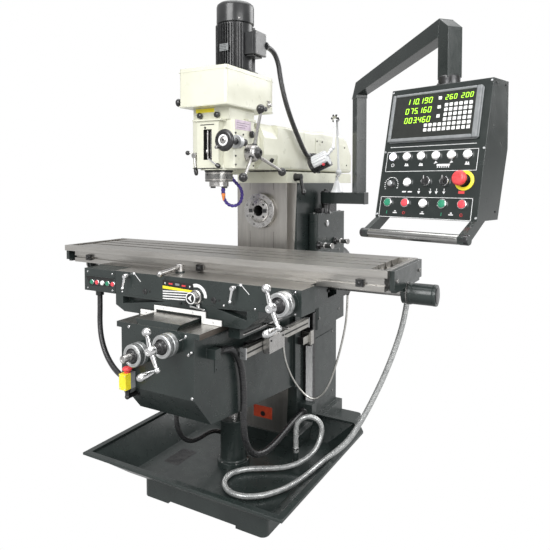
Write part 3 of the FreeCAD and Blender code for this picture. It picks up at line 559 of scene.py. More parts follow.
def tube(name, points, radius_at, finish, sides=16):
    """A tube round a line of points; radius_at takes the distance and turn, and gives metres."""
    mesh = bmesh.new()
    forward = (points[1] - points[0]).normalized()
    side = forward.orthogonal().normalized()
    rings = []
    travelled = 0.0
    for i, point in enumerate(points):
        ahead = (points[min(i + 1, len(points) - 1)] - points[max(i - 1, 0)]).normalized()
        side = (side - ahead * side.dot(ahead)).normalized()
        up = ahead.cross(side)
        if i:
            travelled += (point - points[i - 1]).length
        row = []
        for k in range(sides):
            turn = math.tau * k / sides
            reach = radius_at(travelled, turn)
            row.append(mesh.verts.new(point + (side * math.cos(turn) + up * math.sin(turn)) * reach))
        rings.append(row)
    for first, second in zip(rings, rings[1:]):
        for k in range(sides):
            j = (k + 1) % sides
            mesh.faces.new((first[k], first[j], second[j], second[k]))
    mesh.faces.new(list(reversed(rings[0])))
    mesh.faces.new(rings[-1])
    data = bpy.data.meshes.new(name)
    mesh.to_mesh(data)
    mesh.free()
    data.materials.append(finish)
    data.shade_smooth()
    piece = bpy.data.objects.new(name, data)
    scene.collection.objects.link(piece)
    return piece


def helix(points, radius, pitch, per_turn=12):
    """Points of a wire wound round a line."""
    wound = []
    side = (points[1] - points[0]).orthogonal().normalized()
    travelled = 0.0
    fine = even(points, pitch / per_turn)[0]
    for i, point in enumerate(fine):
        ahead = (fine[min(i + 1, len(fine) - 1)] - fine[max(i - 1, 0)]).normalized()
        side = (side - ahead * side.dot(ahead)).normalized()
        up = ahead.cross(side)
        turn = math.tau * travelled / pitch
        wound.append(point + (side * math.cos(turn) + up * math.sin(turn)) * radius)
        if i + 1 < len(fine):
            travelled += (fine[i + 1] - point).length
    return wound


def ribbed(radius, pitch, depth):
    """A conduit's corrugations."""
    def radius_at(distance, turn):
        wave = 0.5 + 0.5 * math.cos(math.tau * distance / pitch)
        return radius - depth * wave * wave
    return radius_at


HOSES = {
    "drain_hose": [(648, -84, 872), (648, -84, 818), (642, -86, 760), (628, -90, 682), (602, -95, 595),
                   (571, -105, 508), (535, -122, 420), (496, -140, 336), (454, -156, 264), (410, -168, 220),
                   (368, -184, 182), (330, -212, 144), (298, -258, 120), (268, -318, 113), (230, -374, 113),
                   (176, -412, 113), (114, -412, 113), (62, -370, 113), (48, -308, 113), (84, -252, 113),
                   (145, -214, 113), (206, -178, 114), (256, -138, 128), (292, -94, 158), (301, -50, 204),
                   (301.4, -48.3, 246.3), (284.4, -57.2, 272.6), (257, -71.5, 282.6), (229.6, -85.8, 272.6),
                   (212.6, -94.7, 246.3), (212, -95, 194), (212, -95, 140)],
    "motor_cable": [(104, -146, 1704), (104, -110, 1704), (106, -72, 1690), (110, -50, 1652),
                    (116, -50, 1610),
                    (124, -46, 1562), (131, -34, 1512), (135, -8, 1462), (136, 30, 1414), (136, 74, 1368),
                    (136, 112, 1330), (136, 150, 1300), (136, 186, 1300)],
    "station_conduit": [(-420, -485, 764), (-420, -485, 715), (-422, -486, 662), (-410, -492, 606),
                        (-375, -505, 556),
                        (-322, -524, 522), (-268, -540, 502), (-220, -548, 495), (-176, -548, 495)],
    "knee_conduit": [(-100, -432, 394), (-100, -432, 348), (-101, -424, 296), (-101, -394, 246),
                     (-102, -346, 214),
                     (-103, -292, 204), (-104, -244, 204), (-105, -200, 196), (-105, -158, 176),
                     (-105, -120, 150),
                     (-105, -82, 130), (-105, -58, 125), (-105, -34, 125)],
    "side_conduit": [(170, -552, 652), (170, -508, 652), (170, -456, 634), (170, -418, 586),
                     (170, -400, 516),
                     (170, -396, 436), (170, -400, 356), (171, -386, 282), (172, -340, 228),
                     (173, -280, 206),
                     (174, -214, 204), (175, -146, 214), (176, -82, 230), (176, -20, 240), (176, 40, 240)],
    "scale_cable": [(222, -212, 592), (222, -208, 556), (225, -186, 500), (234, -152, 440), (254, -122, 392),
                    (284, -104, 364), (320, -98, 380), (354, -98, 432), (385, -100, 520), (412, -102, 620),
                    (428, -104, 710), (430, -106, 792)],
    "coolant_hose": [(-78, -112, 1238), (-78, -112, 1210), (-60, -99, 1186), (-44, -88, 1164),
                     (-40, -84, 1136),
                     (-46, -90, 1104), (-68, -108, 1090), (-92, -126, 1104), (-102, -134, 1140),
                     (-98, -138, 1174),
                     (-86, -148, 1198), (-74, -166, 1204), (-62, -184, 1188), (-56, -192, 1166),
                     (-56, -193, 1142)],
}


def hose(name, radius_at, finish, step, body=None, crossing=None):
    """Make one declared hose, on a body, or fixed in place where it crosses the joint between two."""
    line, length = even(centreline(HOSES[name]), step)
    piece = tube(name + "_run", line, radius_at, finish)
    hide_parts(name)
    if crossing:
        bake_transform(piece)
    else:
        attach(piece, body)
    return piece, line


def follow(piece, body, line):
    """Let a hose's first end go with a body while its last end stays, bending in between."""
    group = piece.vertex_groups.new(name="follow")
    lengths = [0.0]
    for a, b in zip(line, line[1:]):
        lengths.append(lengths[-1] + (b - a).length)
    count = len(piece.data.vertices) / len(line)
    for vertex in piece.data.vertices:
        share = lengths[min(len(line) - 1, int(vertex.index / count))] / lengths[-1]
        weight = min(1.0, max(0.0, 1.04 - share / 0.6))
        group.add([vertex.index], weight * weight * (3 - 2 * weight), "REPLACE")
    hook = piece.modifiers.new("follow", "HOOK")
    hook.object = frame["bodies"][body]
    hook.vertex_group = "follow"
    hook.falloff_type = "NONE"


hose("motor_cable", ribbed(0.0100, 0.005, 0.0007), HOSE, 0.00125,
     crossing=("head", "ram"))
hose("station_conduit", ribbed(0.0100, 0.005, 0.0007), HOSE, 0.00125,
     crossing=("saddle", "knee"))
hose("knee_conduit", ribbed(0.0090, 0.005, 0.0007), HOSE, 0.00125,
     crossing=("knee", "column"))
hose("side_conduit", ribbed(0.0120, 0.006, 0.0008), HOSE, 0.0015,
     crossing=("knee", "column"))
hose("scale_cable", ribbed(0.0040, 0.0035, 0.0005), ARMOUR, 0.0009,
     body="saddle")
drain, drain_line = hose("drain_hose", lambda distance, turn: 0.0100 - 0.0004 * (
    0.5 + 0.5 * math.cos(math.tau * distance / 0.007 + turn)), CLEAR, 0.0018,
    body="column")
follow(drain, "table", drain_line)
wire_points = helix(drain_line, 0.0097, 0.007)
wire = tube("drain_hose_wire", wire_points, lambda distance, turn: 0.00055, BRAID, 5)
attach(wire, "column")
follow(wire, "table", wire_points)


# ---------------------------------------------------------------- finishes of the CAD pieces
def column_finish(centre, normal):
    front = abs(centre.x) < 120.5 and centre.y < 37 and centre.z > 150 and normal.y < 0.2
    flank = abs(centre.x) < 120.5 and 0.5 < centre.y < 36.5 and centre.z > 150 and abs(normal.z) < 0.1
    return front or flank or (centre.y < 60 and centre.z > 990 and abs(centre.x) < 73)


def knee_finish(centre, normal):
    if centre.z > 712 and abs(centre.x) > 171.5 and centre.y < -11:
        return 2
    top = centre.z > 728.5 and normal.z > -0.5 and normal.y > -0.5
    ways = centre.y > -1 and normal.y > 0.3
    return top or ways


def saddle_finish(centre, normal):
    return centre.z > 860 and normal.z > 0.5


def head_finish(centre, normal):
    if centre.x > 90.5 and centre.y < -284 and abs(centre.z - 1331) < 14:
        return 1
    slot = abs(centre.x) < 18.2 and centre.y < -300 and 1267 < centre.z < 1377 and centre.y > -366.5
    bore = math.hypot(centre.x, centre.y + 300) < 43.6 and abs(normal.z) < 0.5
    return 2 if slot or bore else 0


dress("base_casting", [CASTING])
dress("chip_tray", [CASTING])
dress("column_casting", [CASTING, STEEL_Z], column_finish)
dress("ram_base", [CREAM])
dress("gearbox_housing", [CASTING, BLACK], lambda centre, normal: centre.x > 189.5)
dress("knee_screw_post", [CASTING])
dress("z_scale", [DARK_STEEL])
dress("knee_casting", [CASTING, STEEL_Y, RUBBED], knee_finish)
dress("knee_screw", [STEEL])
dress("knee_scales", [RAIL, DARK_STEEL], lambda centre, normal: centre.x < 189.9)
dress("saddle_casting", [CASTING, STEEL_X], saddle_finish)
dress("feed_apron", [CASTING, STEEL_X], lambda centre, normal: centre.z > 871 and normal.z > 0.5)
dress("button_station", [CASTING])
dress("table", [STEEL_X, DARK_STEEL], lambda centre, normal: centre.y < -393.2 and centre.z < 901)
dress("table_end_brackets", [CASTING])
dress("x_lead_screw", [STEEL])
dress("ram", [CREAM, BLACK], lambda centre, normal: centre.x > 120.5)
dress("head_casting", [CREAM, DARK_STEEL, MATT_BLACK], head_finish)
dress("belt_cover", [CREAM, MATT_BLACK], lambda centre, normal: abs(centre.x) < 98 and -392 < centre.y < -86
      and 1460 < centre.z < 1586)
dress("spindle_pulley", [ALUMINIUM])
dress("motor_pulley", [ALUMINIUM])
dress("drive_belt", [RUBBER])
dress("pendant_arm", [ARM])
dress("pendant_box", [ARM])
dress("quill", [STEEL_Z])
dress("vertical_spindle", [STEEL_Z])


# ---------------------------------------------------------------- motors
def motor(name, body, place, flange, core, fin, fin_end, cover, length, gap, replaced):
    """A finned motor drawn along +Z from its face; gap is the half angle left for the terminal box."""
    shape = Shape(place).use(MOTOR)
    shape.lathe((0, 0, 0), UP, [(0.2, flange), (9, flange), (11, flange - 3), (11, core + 4), (22, core + 2),
                                       (24, core), (fin_end, core), (fin_end + 3, core + 5),
                                       (fin_end + 12, core + 5)], 64)
    count = 44
    for turn in turns(count, 0.5):
        if math.cos(turn) > math.cos(gap):
            continue
        radial = Vector((math.cos(turn), math.sin(turn), 0))
        across = Vector((-math.sin(turn), math.cos(turn), 0))
        outline = []
        for reach, half in ((core - 2, 1.6), (fin, 1.0), (fin, -1.0), (core - 2, -1.6)):
            point = radial * reach + across * half
            outline.append((point.x, point.y, 21))
        shape.prism(outline, (0, 0, fin_end - 24))
    shape.done(name + "_fins", body, "motor_black", [replaced], bevel=0.3, segments=1)
    bell = Shape(place).use(MOTOR)
    bell.lathe((0, 0, fin_end + 4), UP, [(0, core + 2), (0, cover), (length - fin_end - 20, cover),
                                                (length - fin_end - 12, cover - 2),
                                                (length - fin_end - 6, cover - 9),
                                                (length - fin_end - 4, cover - 18),
                                                (length - fin_end - 4, 0)], 64)
    bell.done(name + "_fan_cover", body, "motor_black", bevel=0.6)
    grille = Shape(place).use(MATT_BLACK)
    for turn in turns(20):
        across = Vector((-math.sin(turn), math.cos(turn), 0))
        radial = Vector((math.cos(turn), math.sin(turn), 0))
        outline = []
        for reach, half in ((cover * 0.26, 1.2), (cover * 0.66, 2.4), (cover * 0.66, -2.4),
                            (cover * 0.26, -1.2)):
            point = radial * reach + across * half
            outline.append((point.x, point.y, length - 1))
        grille.prism(outline, (0, 0, 1.25))
    grille.use(STEEL)
    for turn in turns(4, 0.5):
        out = Vector((math.cos(turn), math.sin(turn), 0))
        grille.screw(tuple(out * (cover - 0.5) + Vector((0, 0, fin_end + 12))), tuple(out), 3.2, 2)
        grille.bolt(tuple(out * (flange - 8) + Vector((0, 0, 10.6))), UP, 5, 4)
    grille.done(name + "_screws", body, "steel", bevel=0)


motor("head_motor", "head", Matrix.Translation((0, -189, 1591)), 88, 65, 75, 190, 71, 270.8, 0.62,
      "head_motor")
box = Shape().use(MOTOR)
box.box(58, 98, -220, -148, 1662, 1744)
box.box(98.6, 111.6, -222, -146, 1660, 1746)
box.box(64, 98, -214, -154, 1655, 1662)
box.done("head_motor_terminal_box", "head", "motor_black", bevel=2.2, segments=3)
box = Shape().use(STEEL)
for y in (-215, -153):
    for z in (1667, 1739):
        box.screw((111.4, y, z), RIGHT, 2.6, 1.6)
box.use(GREY)
box.box(-19, 19, -265.2, -264.2, 1674, 1700)
box.use(DARK_STEEL)
for i in range(4):
    box.box(-16, 16 - 5 * (i % 2), -265.5, -265.1, 1677 + 6 * i, 1678.4 + 6 * i)
box.done("head_motor_plate", "head", "aluminium", bevel=0)
place = Matrix.Translation((0, 440, 760)) @ Matrix.Rotation(math.radians(-90), 4, "X") @ Matrix.Rotation(
    math.radians(-90), 4, "Z")
motor("column_motor", "column", place, 132, 92, 105, 250, 100, 329.5, 0.5, "column_motor")
box = Shape().use(MOTOR)
box.box(-43, 43, 562, 658, 850, 906)
box.box(-45, 45, 560, 660, 906.5, 919.5)
box.done("column_motor_terminal_box", "column", "motor_black", bevel=2.2, segments=3)


# ---------------------------------------------------------------- belt cover, head and ram
part = Shape().use(CREAM)
part.box(-103.9, 103.9, -397.9, -80.1, 1577, 1579.5)
part.box(-103.6, 103.6, -397.6, -80.4, 1458, 1461)
part.done("cover_seams", "head", "cream_paint", bevel=0.8)
part = Shape().use(BLACK)
part.lathe((-103, -380, 1476), LEFT, [(0, 9), (5, 8), (7, 12), (14, 15), (20, 13.5), (23, 8), (23.5, 0)], 28)
part.lathe((103, -142, 1467), RIGHT, [(0, 9), (5, 9), (7, 7), (7, 0)], 20)
part.lathe((95, -231, 1364), RIGHT, [(0, 11), (2, 13), (10, 13), (12.5, 10), (13, 0)], 28)
for x in (-46, 30):
    part.lathe((x, -345, 1428), FRONT, [(0, 10), (3, 11.5), (11, 11.5), (13.5, 8), (14, 0)], 6)
part.box(-31, 29, -368.2, -366, 1391, 1394)
part.lathe((-10, -367, 1382), FRONT, [(0, 4), (2, 4), (2.6, 0)], 16)
part.box(-66, 66, -369, -366.6, 1236.5, 1239.4)
part.done("head_black_fittings", "head", "black_plastic", bevel=0.5)
part = Shape().use(STEEL)
part.lathe((103, -118, 1485), RIGHT, [(0, 11), (4, 11), (6, 8), (12, 7), (14, 5), (14, 0)], 28)
part.box(103, 108, -128, -106, 1498, 1501)
part.done("cover_latch", "head", "steel", bevel=0.5)
part = Shape().use(YELLOW)
part.box(-68, 14, -346.4, -344.9, 1439, 1453)
part.done("head_yellow_label", "head", "cream_paint", bevel=0.2)
part = Shape().use(LILAC)
part.box(94.8, 96.0, -332, -232, 1376, 1410)
part.use(DARK_STEEL)
for i in range(3):
    part.box(95.9, 96.3, -324, -270 + 14 * i, 1383 + 8 * i, 1384.4 + 8 * i)
part.done("head_lilac_label", "head", "aluminium", bevel=0.2)
part = Shape().use(DARK_STEEL)
for y, z in ((-330, 1363), (-282, 1360), (-330, 1251), (-215, 1250), (-330, 1282)):
    part.screw((95, y, z), RIGHT, 3.6, 2.2)
for angle in (25, 65, 115, 155, 205, 245, 295, 335):
    turn = math.radians(angle)
    part.bolt((92 * math.cos(turn), -191, 1325 + 92 * math.sin(turn)), FRONT, 5, 4)
part.screw((113.5, -115, 1273), (0.9, 0, -0.42), 10, 7)
part.done("head_screws", "head", "steel", bevel=0)
part = Shape().use(CREAM)
part.lathe((0, -195.5, 1325), BACK, [(-2, 104), (-2, 106), (0, 107.5), (12, 107.5), (14, 106)], 72)
part.box(-62, 62, -374, -339, 1405, 1411.5)
part.box(60, 97, -250, -196, 1411, 1420)
part.done("head_swivel_ring", "head", "cream_paint", bevel=1.2)
part = Shape().use(DIAL)
part.hollow((FINE_FEED_X, -344, FINE_FEED_Z), BACK, 22, 24, 11)
part.done("fine_feed_collar", "head", "steel", bevel=0.6)
part = Shape().use(STEEL)
part.rod((-10, -352, 1270), (-10, -352, 1374), 4.2)
part.lathe((-10, -352, 1292), UP, [(0, 9), (3, 10), (9, 10), (12, 9)], 24)
part.use(INK)
for i in range(20):
    part.box(13, 15 + 2 * (i % 5 == 0), -366.8, -366.2, 1276 + 4.6 * i, 1276.8 + 4.6 * i)
part.use(DARK_STEEL)
part.box(12, 17.8, -366.4, -364.5, 1270, 1374)
part.done("quill_stop_screw", "head", "steel", bevel=0.4)
part = Shape().use(CHROME)
part.taper((4, -369, 1272), (44, -374, 1250), 3.2, 4.2)
part.use(DARK_STEEL)
part.lathe((44, -374, 1250), (1, 0, -0.5), [(-2, 4), (0, 7.5), (9, 8), (15, 6), (17, 0)], 24)
part.done("trip_lever", "head", "steel", bevel=0.4)
part = Shape().use(STEEL)
part.lathe((-69, -340.6, 1285), FRONT, [(0, 12), (7, 12), (9, 10), (19, 10), (20, 9), (20, 0)], 28)
part.taper((-69, -354, 1285), (-61, -358, 1238), 5.2, 4.2)
part.use(BLACK)
part.lathe((-61.5, -358, 1242), (0.17, -0.05, -1), [(0, 4.8), (3, 7), (14, 8), (24, 7), (29, 4), (30, 0)],
           24)
part.done("quill_lock", "quill_lock_lever", "steel", ["quill_lock_lever"], bevel=0.3)
part = Shape().use(STEEL)
part.rod((-100, -350, 1296), (-80, -344, 1294), 3)
part.use(BLACK)
part.ball((-103, -351, 1296), 8.5)
part.done("quill_clamp_knob", "head", "steel", bevel=0)

part = Shape().use(BLACK)
part.lathe((FINE_FEED_X, -401, FINE_FEED_Z), FRONT,
           [(0, 12), (1, 30), (3, 35), (8, 38), (13, 37), (17, 33), (18, 28)], 56)
part.lathe((FINE_FEED_X, -341, FINE_FEED_Z), FRONT, [(0, 10), (60, 10)], 32)
part.use(INK)
part.hollow((FINE_FEED_X, -418.6, FINE_FEED_Z), FRONT, 1.2, 19.5, 12.5)
part.use(STEEL)
part.lathe((FINE_FEED_X, -417, FINE_FEED_Z), FRONT, [(0, 11), (2, 11), (3, 9.5), (3, 4), (1.5, 4), (1.5, 0)],
           28)
part.lathe((82, -416, 1307), FRONT, [(0, 6), (3, 6), (9, 5), (14, 6), (15, 0)], 20)
part.rod((FINE_FEED_X, -341, FINE_FEED_Z), (FINE_FEED_X, -306, FINE_FEED_Z), 6)
part.done("fine_feed_wheel_detail", "fine_feed_wheel", "black_plastic", ["fine_feed_wheel"], bevel=0.5)

part = Shape().use(STEEL)
part.lathe((95.6, FEED_SHAFT_Y, FEED_SHAFT_Z), RIGHT,
           [(0, 33), (3, 34.5), (6, 33), (25, 32), (34, 28), (38, 21)], 64)
part.rod((-55, FEED_SHAFT_Y, FEED_SHAFT_Z), (96, FEED_SHAFT_Y, FEED_SHAFT_Z), 11.4)
part.use(DARK_STEEL)
part.lathe((130, FEED_SHAFT_Y, FEED_SHAFT_Z), RIGHT,
           [(0, 22), (6, 21), (12, 17), (17, 12), (17, 7), (13, 6), (13, 0)], 40)
for angle in (95, 215, 335):
    turn = math.radians(angle)
    out = Vector((0, math.cos(turn), math.sin(turn)))
    hub = Vector((118, FEED_SHAFT_Y, FEED_SHAFT_Z)) + out * 18
    tip = Vector((155, FEED_SHAFT_Y, FEED_SHAFT_Z)) + out * 146
    run = (tip - hub).normalized()
    part.use(DARK_STEEL)
    part.lathe(hub + run * 6, run, [(0, 9.5), (9, 9.5), (12, 8)], 24)
    part.use(STEEL)
    part.lathe(hub, run, [(0, 6.2), (30, 6.4), ((tip - hub).length, 5.2)], 24)
    part.use(BLACK)
    ball = Vector((155, FEED_SHAFT_Y, FEED_SHAFT_Z)) + out * 157
    part.ball(ball, 16.2, 36, run)
    part.lathe(ball - run * 18.5, run, [(0, 7), (4, 8)], 24)
part.done("quill_feed_handle_detail", "quill_feed_handle", "steel", ["quill_feed_handle"], bevel=0.3)

part = Shape().use(NOSE)
part.lathe((0, SPINDLE_Y, 1226), DOWN, [(0, 50.3), (3, 50.3), (4, 49.2), (6, 49.2), (7, 50.3), (26, 50.3),
                                        (27, 49),
                                         (29, 49), (30, 50.3), (34, 50.3), (35.5, 48), (35.5, 36)], 72)
part.use(MATT_BLACK)
part.lathe((0, SPINDLE_Y, 1237.5), DOWN, [(0, 52), (9, 52), (10.5, 50.5), (11.5, 50.4)], 72)
part.done("quill_nose_ring", "quill", "machined_steel", bevel=0.4)
part = Shape().use(STEEL)
part.lathe_loop((0, SPINDLE_Y, 1190.5), DOWN,
                [(0, 20), (0, 35.2), (8, 35.2), (9, 34), (10, 35.2), (16, 35.2),
                                               (17.3, 33.5), (17.3, 19), (8, 17.5)], 64)
part.use(DARK_STEEL)
for side in (-1, 1):
    x0, x1 = sorted((side * 20, side * 33))
    part.box(x0, x1, -307, -293, 1167, 1174)
    part.screw((side * 26, -300, 1167.3), DOWN, 3, 0.4)
part.done("vertical_spindle_nose", "vertical_spindle", "steel", bevel=0.3)

part = Shape().use(CREAM)
part.box(-121.3, 121.3, 150, 153, 1262, 1404)
part.box(119, 121.4, 262, 640, 1254, 1262)
part.box(-121.4, -119, 262, 640, 1254, 1262)
part.prism([(119.4, 262, 1262), (119.4, 640, 1262), (119.4, 600, 1372), (119.4, 330, 1384),
            (119.4, 262, 1384)],
           (1.9, 0, 0))
part.prism([(-121.3, 262, 1262), (-121.3, 640, 1262), (-121.3, 600, 1372), (-121.3, 330, 1384),
            (-121.3, 262, 1384)],
           (1.9, 0, 0))
part.done("ram_side_panels", "ram", "cream_paint", bevel=1.2)
part = Shape().use(DARK_STEEL)
for side in (-1, 1):
    for y, z in ((276, 1372), (276, 1274), (330, 1372), (590, 1360), (616, 1274), (440, 1274)):
        part.screw((side * 121.2, y, z), (side, 0, 0), 4, 2.4)
for x in (-60, 60):
    for z in (1272, 1306):
        part.screw((x, 680, z), BACK, 4.5, 3)
part.done("ram_screws", "ram", "steel", bevel=0)
part = Shape().use(CREAM)
part.box(-86, 86, 677.5, 680.5, 1264, 1314)
part.done("ram_rear_cover", "ram", "cream_paint", bevel=1.0)
part = Shape().use(BLACK)
part.box(-60, 60, 6, 60, 1232, 1238)
part.box(-121, 121, -1.5, 3.5, 1233, 1237.4)
part.done("ram_way_wiper", "column", "rubber", bevel=0.5)


# ---------------------------------------------------------------- pendant arm, lamp and pendant
part = Shape().use(ARM)
part.box(362, 366, 224.4, 275.6, 1095.4, 1146.6)
part.done("arm_end_cap", "arm", "casting_grey", bevel=1.2)
heading = math.atan2(-196.2 - 250, 803 - 333)
reach = math.hypot(803 - 333, -196.2 - 250)
arm_place = Matrix.Translation((333, 250, 0)) @ Matrix.Rotation(heading, 4, "Z")
part = Shape(arm_place).use(ARM)
part.box(-24, 24, -24, 24, 1142, 1147)
part.box(-23, 23, -25.7, 25.7, 1541, 1545)
part.prism([(reach - 30, -25.7, 1639), (reach - 26, -25.7, 1639), (reach - 20, -25.7, 1697),
            (reach - 24, -25.7, 1697)],
           (0, 51.4, 0))
part.use(DARK_STEEL)
part.lathe((reach, 0, 1516), DOWN, [(0, 31), (3, 34), (18, 34), (22, 33), (25, 33)], 48)
part.done("arm_welds", "arm", "casting_grey", bevel=1.0)
part = Shape().use(DARK_STEEL)
part.lathe((179, 250, 1145), UP, [(0, 22), (4, 22), (6, 20), (6, 0)], 40)
part.bolt((179, 250, 1151), UP, 10, 7)
part.lathe((179, 250, 1097), DOWN, [(0.4, 24), (4, 24), (7, 19), (30, 17), (40, 22), (44, 24), (44.5, 0)],
           40)
part.done("arm_pivot_bolt", "arm", "steel", bevel=0.4)

part = Shape().use(LAMP_GREY)
part.lathe((230, 250, 1145), UP, [(0, 27), (3, 27), (5, 25), (24, 17), (42, 12), (48, 9), (50, 7), (71, 6)],
           44)
part.use(CHROME)
part.lathe((234, 250, 1214), UP, [(0, 9), (2, 10), (5, 10), (7, 8)], 32)
part.done("lamp_base_detail", "arm", "lamp_grey", ["lamp_base"], bevel=0.3)
part = Shape().use(LAMP_GREY)
part.ball((238, 250, 1232), 13.5, 36)
part.lathe((238, 250, 1240), (-10, 0, 232),
           [(0, 9), (6, 8), (9, 6), (12, 5.2), (206, 5.2), (210, 7), (216, 7)], 28)
part.use(CHROME)
part.lathe((228, 244, 1464), BACK, [(-4, 11), (0, 14), (3, 15), (9, 15), (12, 13), (14, 8)], 40)
part.done("lamp_lower_detail", "lamp_lower_arm", "lamp_grey", ["lamp_lower_arm"], bevel=0.3)
part = Shape().use(CHROME)
part.lathe((228, 240, 1464), FRONT, [(0, 12), (3, 14), (9, 14), (11, 12), (11, 0)], 40)
part.use(DARK_STEEL)
for turn in turns(6):
    part.ball((228 + 13.5 * math.cos(turn), 231, 1464 + 13.5 * math.sin(turn)), 5, 16)
part.use(LAMP_GREY)
start = Vector((229, 231, 1458))
run = Vector((260, 142, 1332)) - start
part.lathe(start, run, [(0, 7), (8, 6), (12, 5), (run.length - 14, 5), (run.length - 9, 7),
                        (run.length - 2, 7.5)], 28)
part.ball((260, 142, 1332), 8.5, 28)
part.done("lamp_upper_detail", "lamp_upper_arm", "lamp_grey", ["lamp_upper_arm"], bevel=0.3)
start = Vector((250, 118, 1290))
along = (Vector((172, 112, 1256)) - start).normalized()
part = Shape().use(LAMP_GREY)
part.lathe(start, along, [(0, 20), (3, 29), (8, 31.5), (66, 31.5), (67, 30)], 56)
for i in range(18):
    axis = Matrix.Rotation(math.tau * (i + 0.5) / 18, 3, along)
    out = axis @ Vector(UP)
    out = (out - along * out.dot(along)).normalized()
    across = along.cross(out)
    if out.z < -0.45:
        continue
    corners = [start + along * 4 + out * r + across * w for r,
               w in ((30, 1.8), (34.5, 1.2), (34.5, -1.2), (30, -1.8))]
    part.prism([tuple(c) for c in corners], tuple(along * 61))
part.use(BLACK)
part.lathe_loop(start + along * 65, along,
                [(0, 30), (1, 35.4), (16, 35.4), (18, 33), (18, 30), (7, 28.5), (4, 26)], 56)
for i in range(5):
    turn = Matrix.Rotation(math.radians(-44 + 22 * i), 3, along)
    out = turn @ (Vector(DOWN) - along * Vector(DOWN).dot(along)).normalized()
    across = along.cross(out)
    corners = [start + along * 2 + out * r + across * w for r,
               w in ((27, 7), (35, 6.6), (35, -6.6), (27, -7))]
    part.prism([tuple(c) for c in corners], tuple(along * 62))
part.use(LENS)
part.lathe(start + along * 70, along, [(0, 28.5), (1, 28.5), (3, 24), (4, 14), (4.4, 0)], 48)
part.use(LAMP_GREY)
part.rod((257, 125, 1321), (246, 118, 1300), 6.5)
part.ball((257, 125, 1320), 9, 28)
part.use(PALE_RED)
down = (Vector((0.35, -0.75, -0.55)) - along * Vector((0.35, -0.75, -0.55)).dot(along)).normalized()
part.lathe(start + along * 22 + down * 33, down, [(0, 6.5), (2, 6.5), (3.5, 5), (4, 0)], 20)
part.use(BLACK)
part.lathe(start + along * 44 + Vector((0, -6, -32)), (0, -0.1, -1),
           [(0, 5), (6, 5), (8, 7), (14, 7), (15, 0)], 20)
part.done("lamp_head_detail", "lamp_head", "lamp_grey", ["lamp_head"], bevel=0.3)

TOP = 1483
LEAN = math.atan2(92, 403)
hang = Matrix.Translation((787, -252, 0)) @ Matrix.Rotation(math.radians(-16), 4, "Z")
panel = hang @ Matrix.Translation((0, 0, TOP)) @ Matrix.Rotation(-LEAN, 4, "X")
part = Shape(hang).use(BAR)
part.lathe((-150, -150, 1034), RIGHT, [(0, 13.5), (2, 13.9), (298, 13.9), (300, 13.5)], 40)
part.use(BLACK)
for side in (-1, 1):
    part.lathe((side * 175.4, -150, 1034), (-side, 0, 0), [(0, 12), (2, 14.2), (24, 14.2), (26, 13)], 40)
part.done("pendant_handle_tube", "pendant", "chrome", bevel=0.3)
part = Shape(hang).use(ARM)
part.box(-167.4, 167.4, 97, 99.4, TOP - 186, TOP - 8)
part.done("pendant_rear_door", "pendant", "casting_grey", bevel=1.0)
part = Shape(hang).use(DARK_STEEL)
for x in (-156, 156):
    for z in (TOP - 20, TOP - 172):
        part.screw((x, 99.2, z), BACK, 4, 2.4)
for side in (-1, 1):
    for y, z in ((20, TOP - 12), (80, TOP - 12), (20, TOP - 380)):
        part.screw((side * 168, y, z), (side, 0, 0), 3.2, 1.6)
part.lathe((0, 58, TOP), UP, [(0, 44), (5, 44), (6, 42), (6, 34), (18, 34), (20, 32.3)], 48)
for turn in turns(6):
    part.bolt((38 * math.cos(turn), 58 + 38 * math.sin(turn), TOP + 5.2), UP, 3.6, 3)
part.done("pendant_screws", "pendant", "steel", bevel=0)
part = Shape(panel).use(ALUMINIUM)
for x, d in ((-163, 8), (163, 8), (-163, 205), (163, 205), (-163, 404), (163, 404)):
    part.screw((x, 0, -d), FRONT, 3.4, 1.4)
part.done("panel_corner_screws", "pendant", "steel", bevel=0)

part = Shape(panel).use(GREY)
BEZEL = [(-156, -26), (-150, -20), (139, -20), (145, -26), (145, -172), (139, -178), (-150, -178),
         (-156, -172)]
part.prism([(x, 0.2, z) for x, z in BEZEL], (0, -6, 0))
for x0, x1, z0, z1 in ((-154, -143, -176, -22), (127, 143, -176, -22), (-143, 127, -30, -22),
                       (-143, 127, -176, -165)):
    part.box(x0, x1, -13.5, -5, z0, z1)
part.done("dro_bezel", "pendant", "black_plastic", ["dro_console"], bevel=3.0, segments=4)
part = Shape(panel).use(SCREEN)
part.box(-144, 128, -9, -4, -166, -29)
part.done("dro_screen", "pendant", "black_plastic", bevel=0.4)
part = Shape(panel).use(DIGIT)
LEAN_OF_FIGURES = 0.14
SEGMENTS = {"0": "abcdef", "1": "bc", "2": "abged", "3": "abgcd", "4": "fgbc", "5": "afgcd", "6": "afgedc",
            "7": "abc", "8": "abcdefg", "9": "abcdfg", "-": "g", " ": ""}


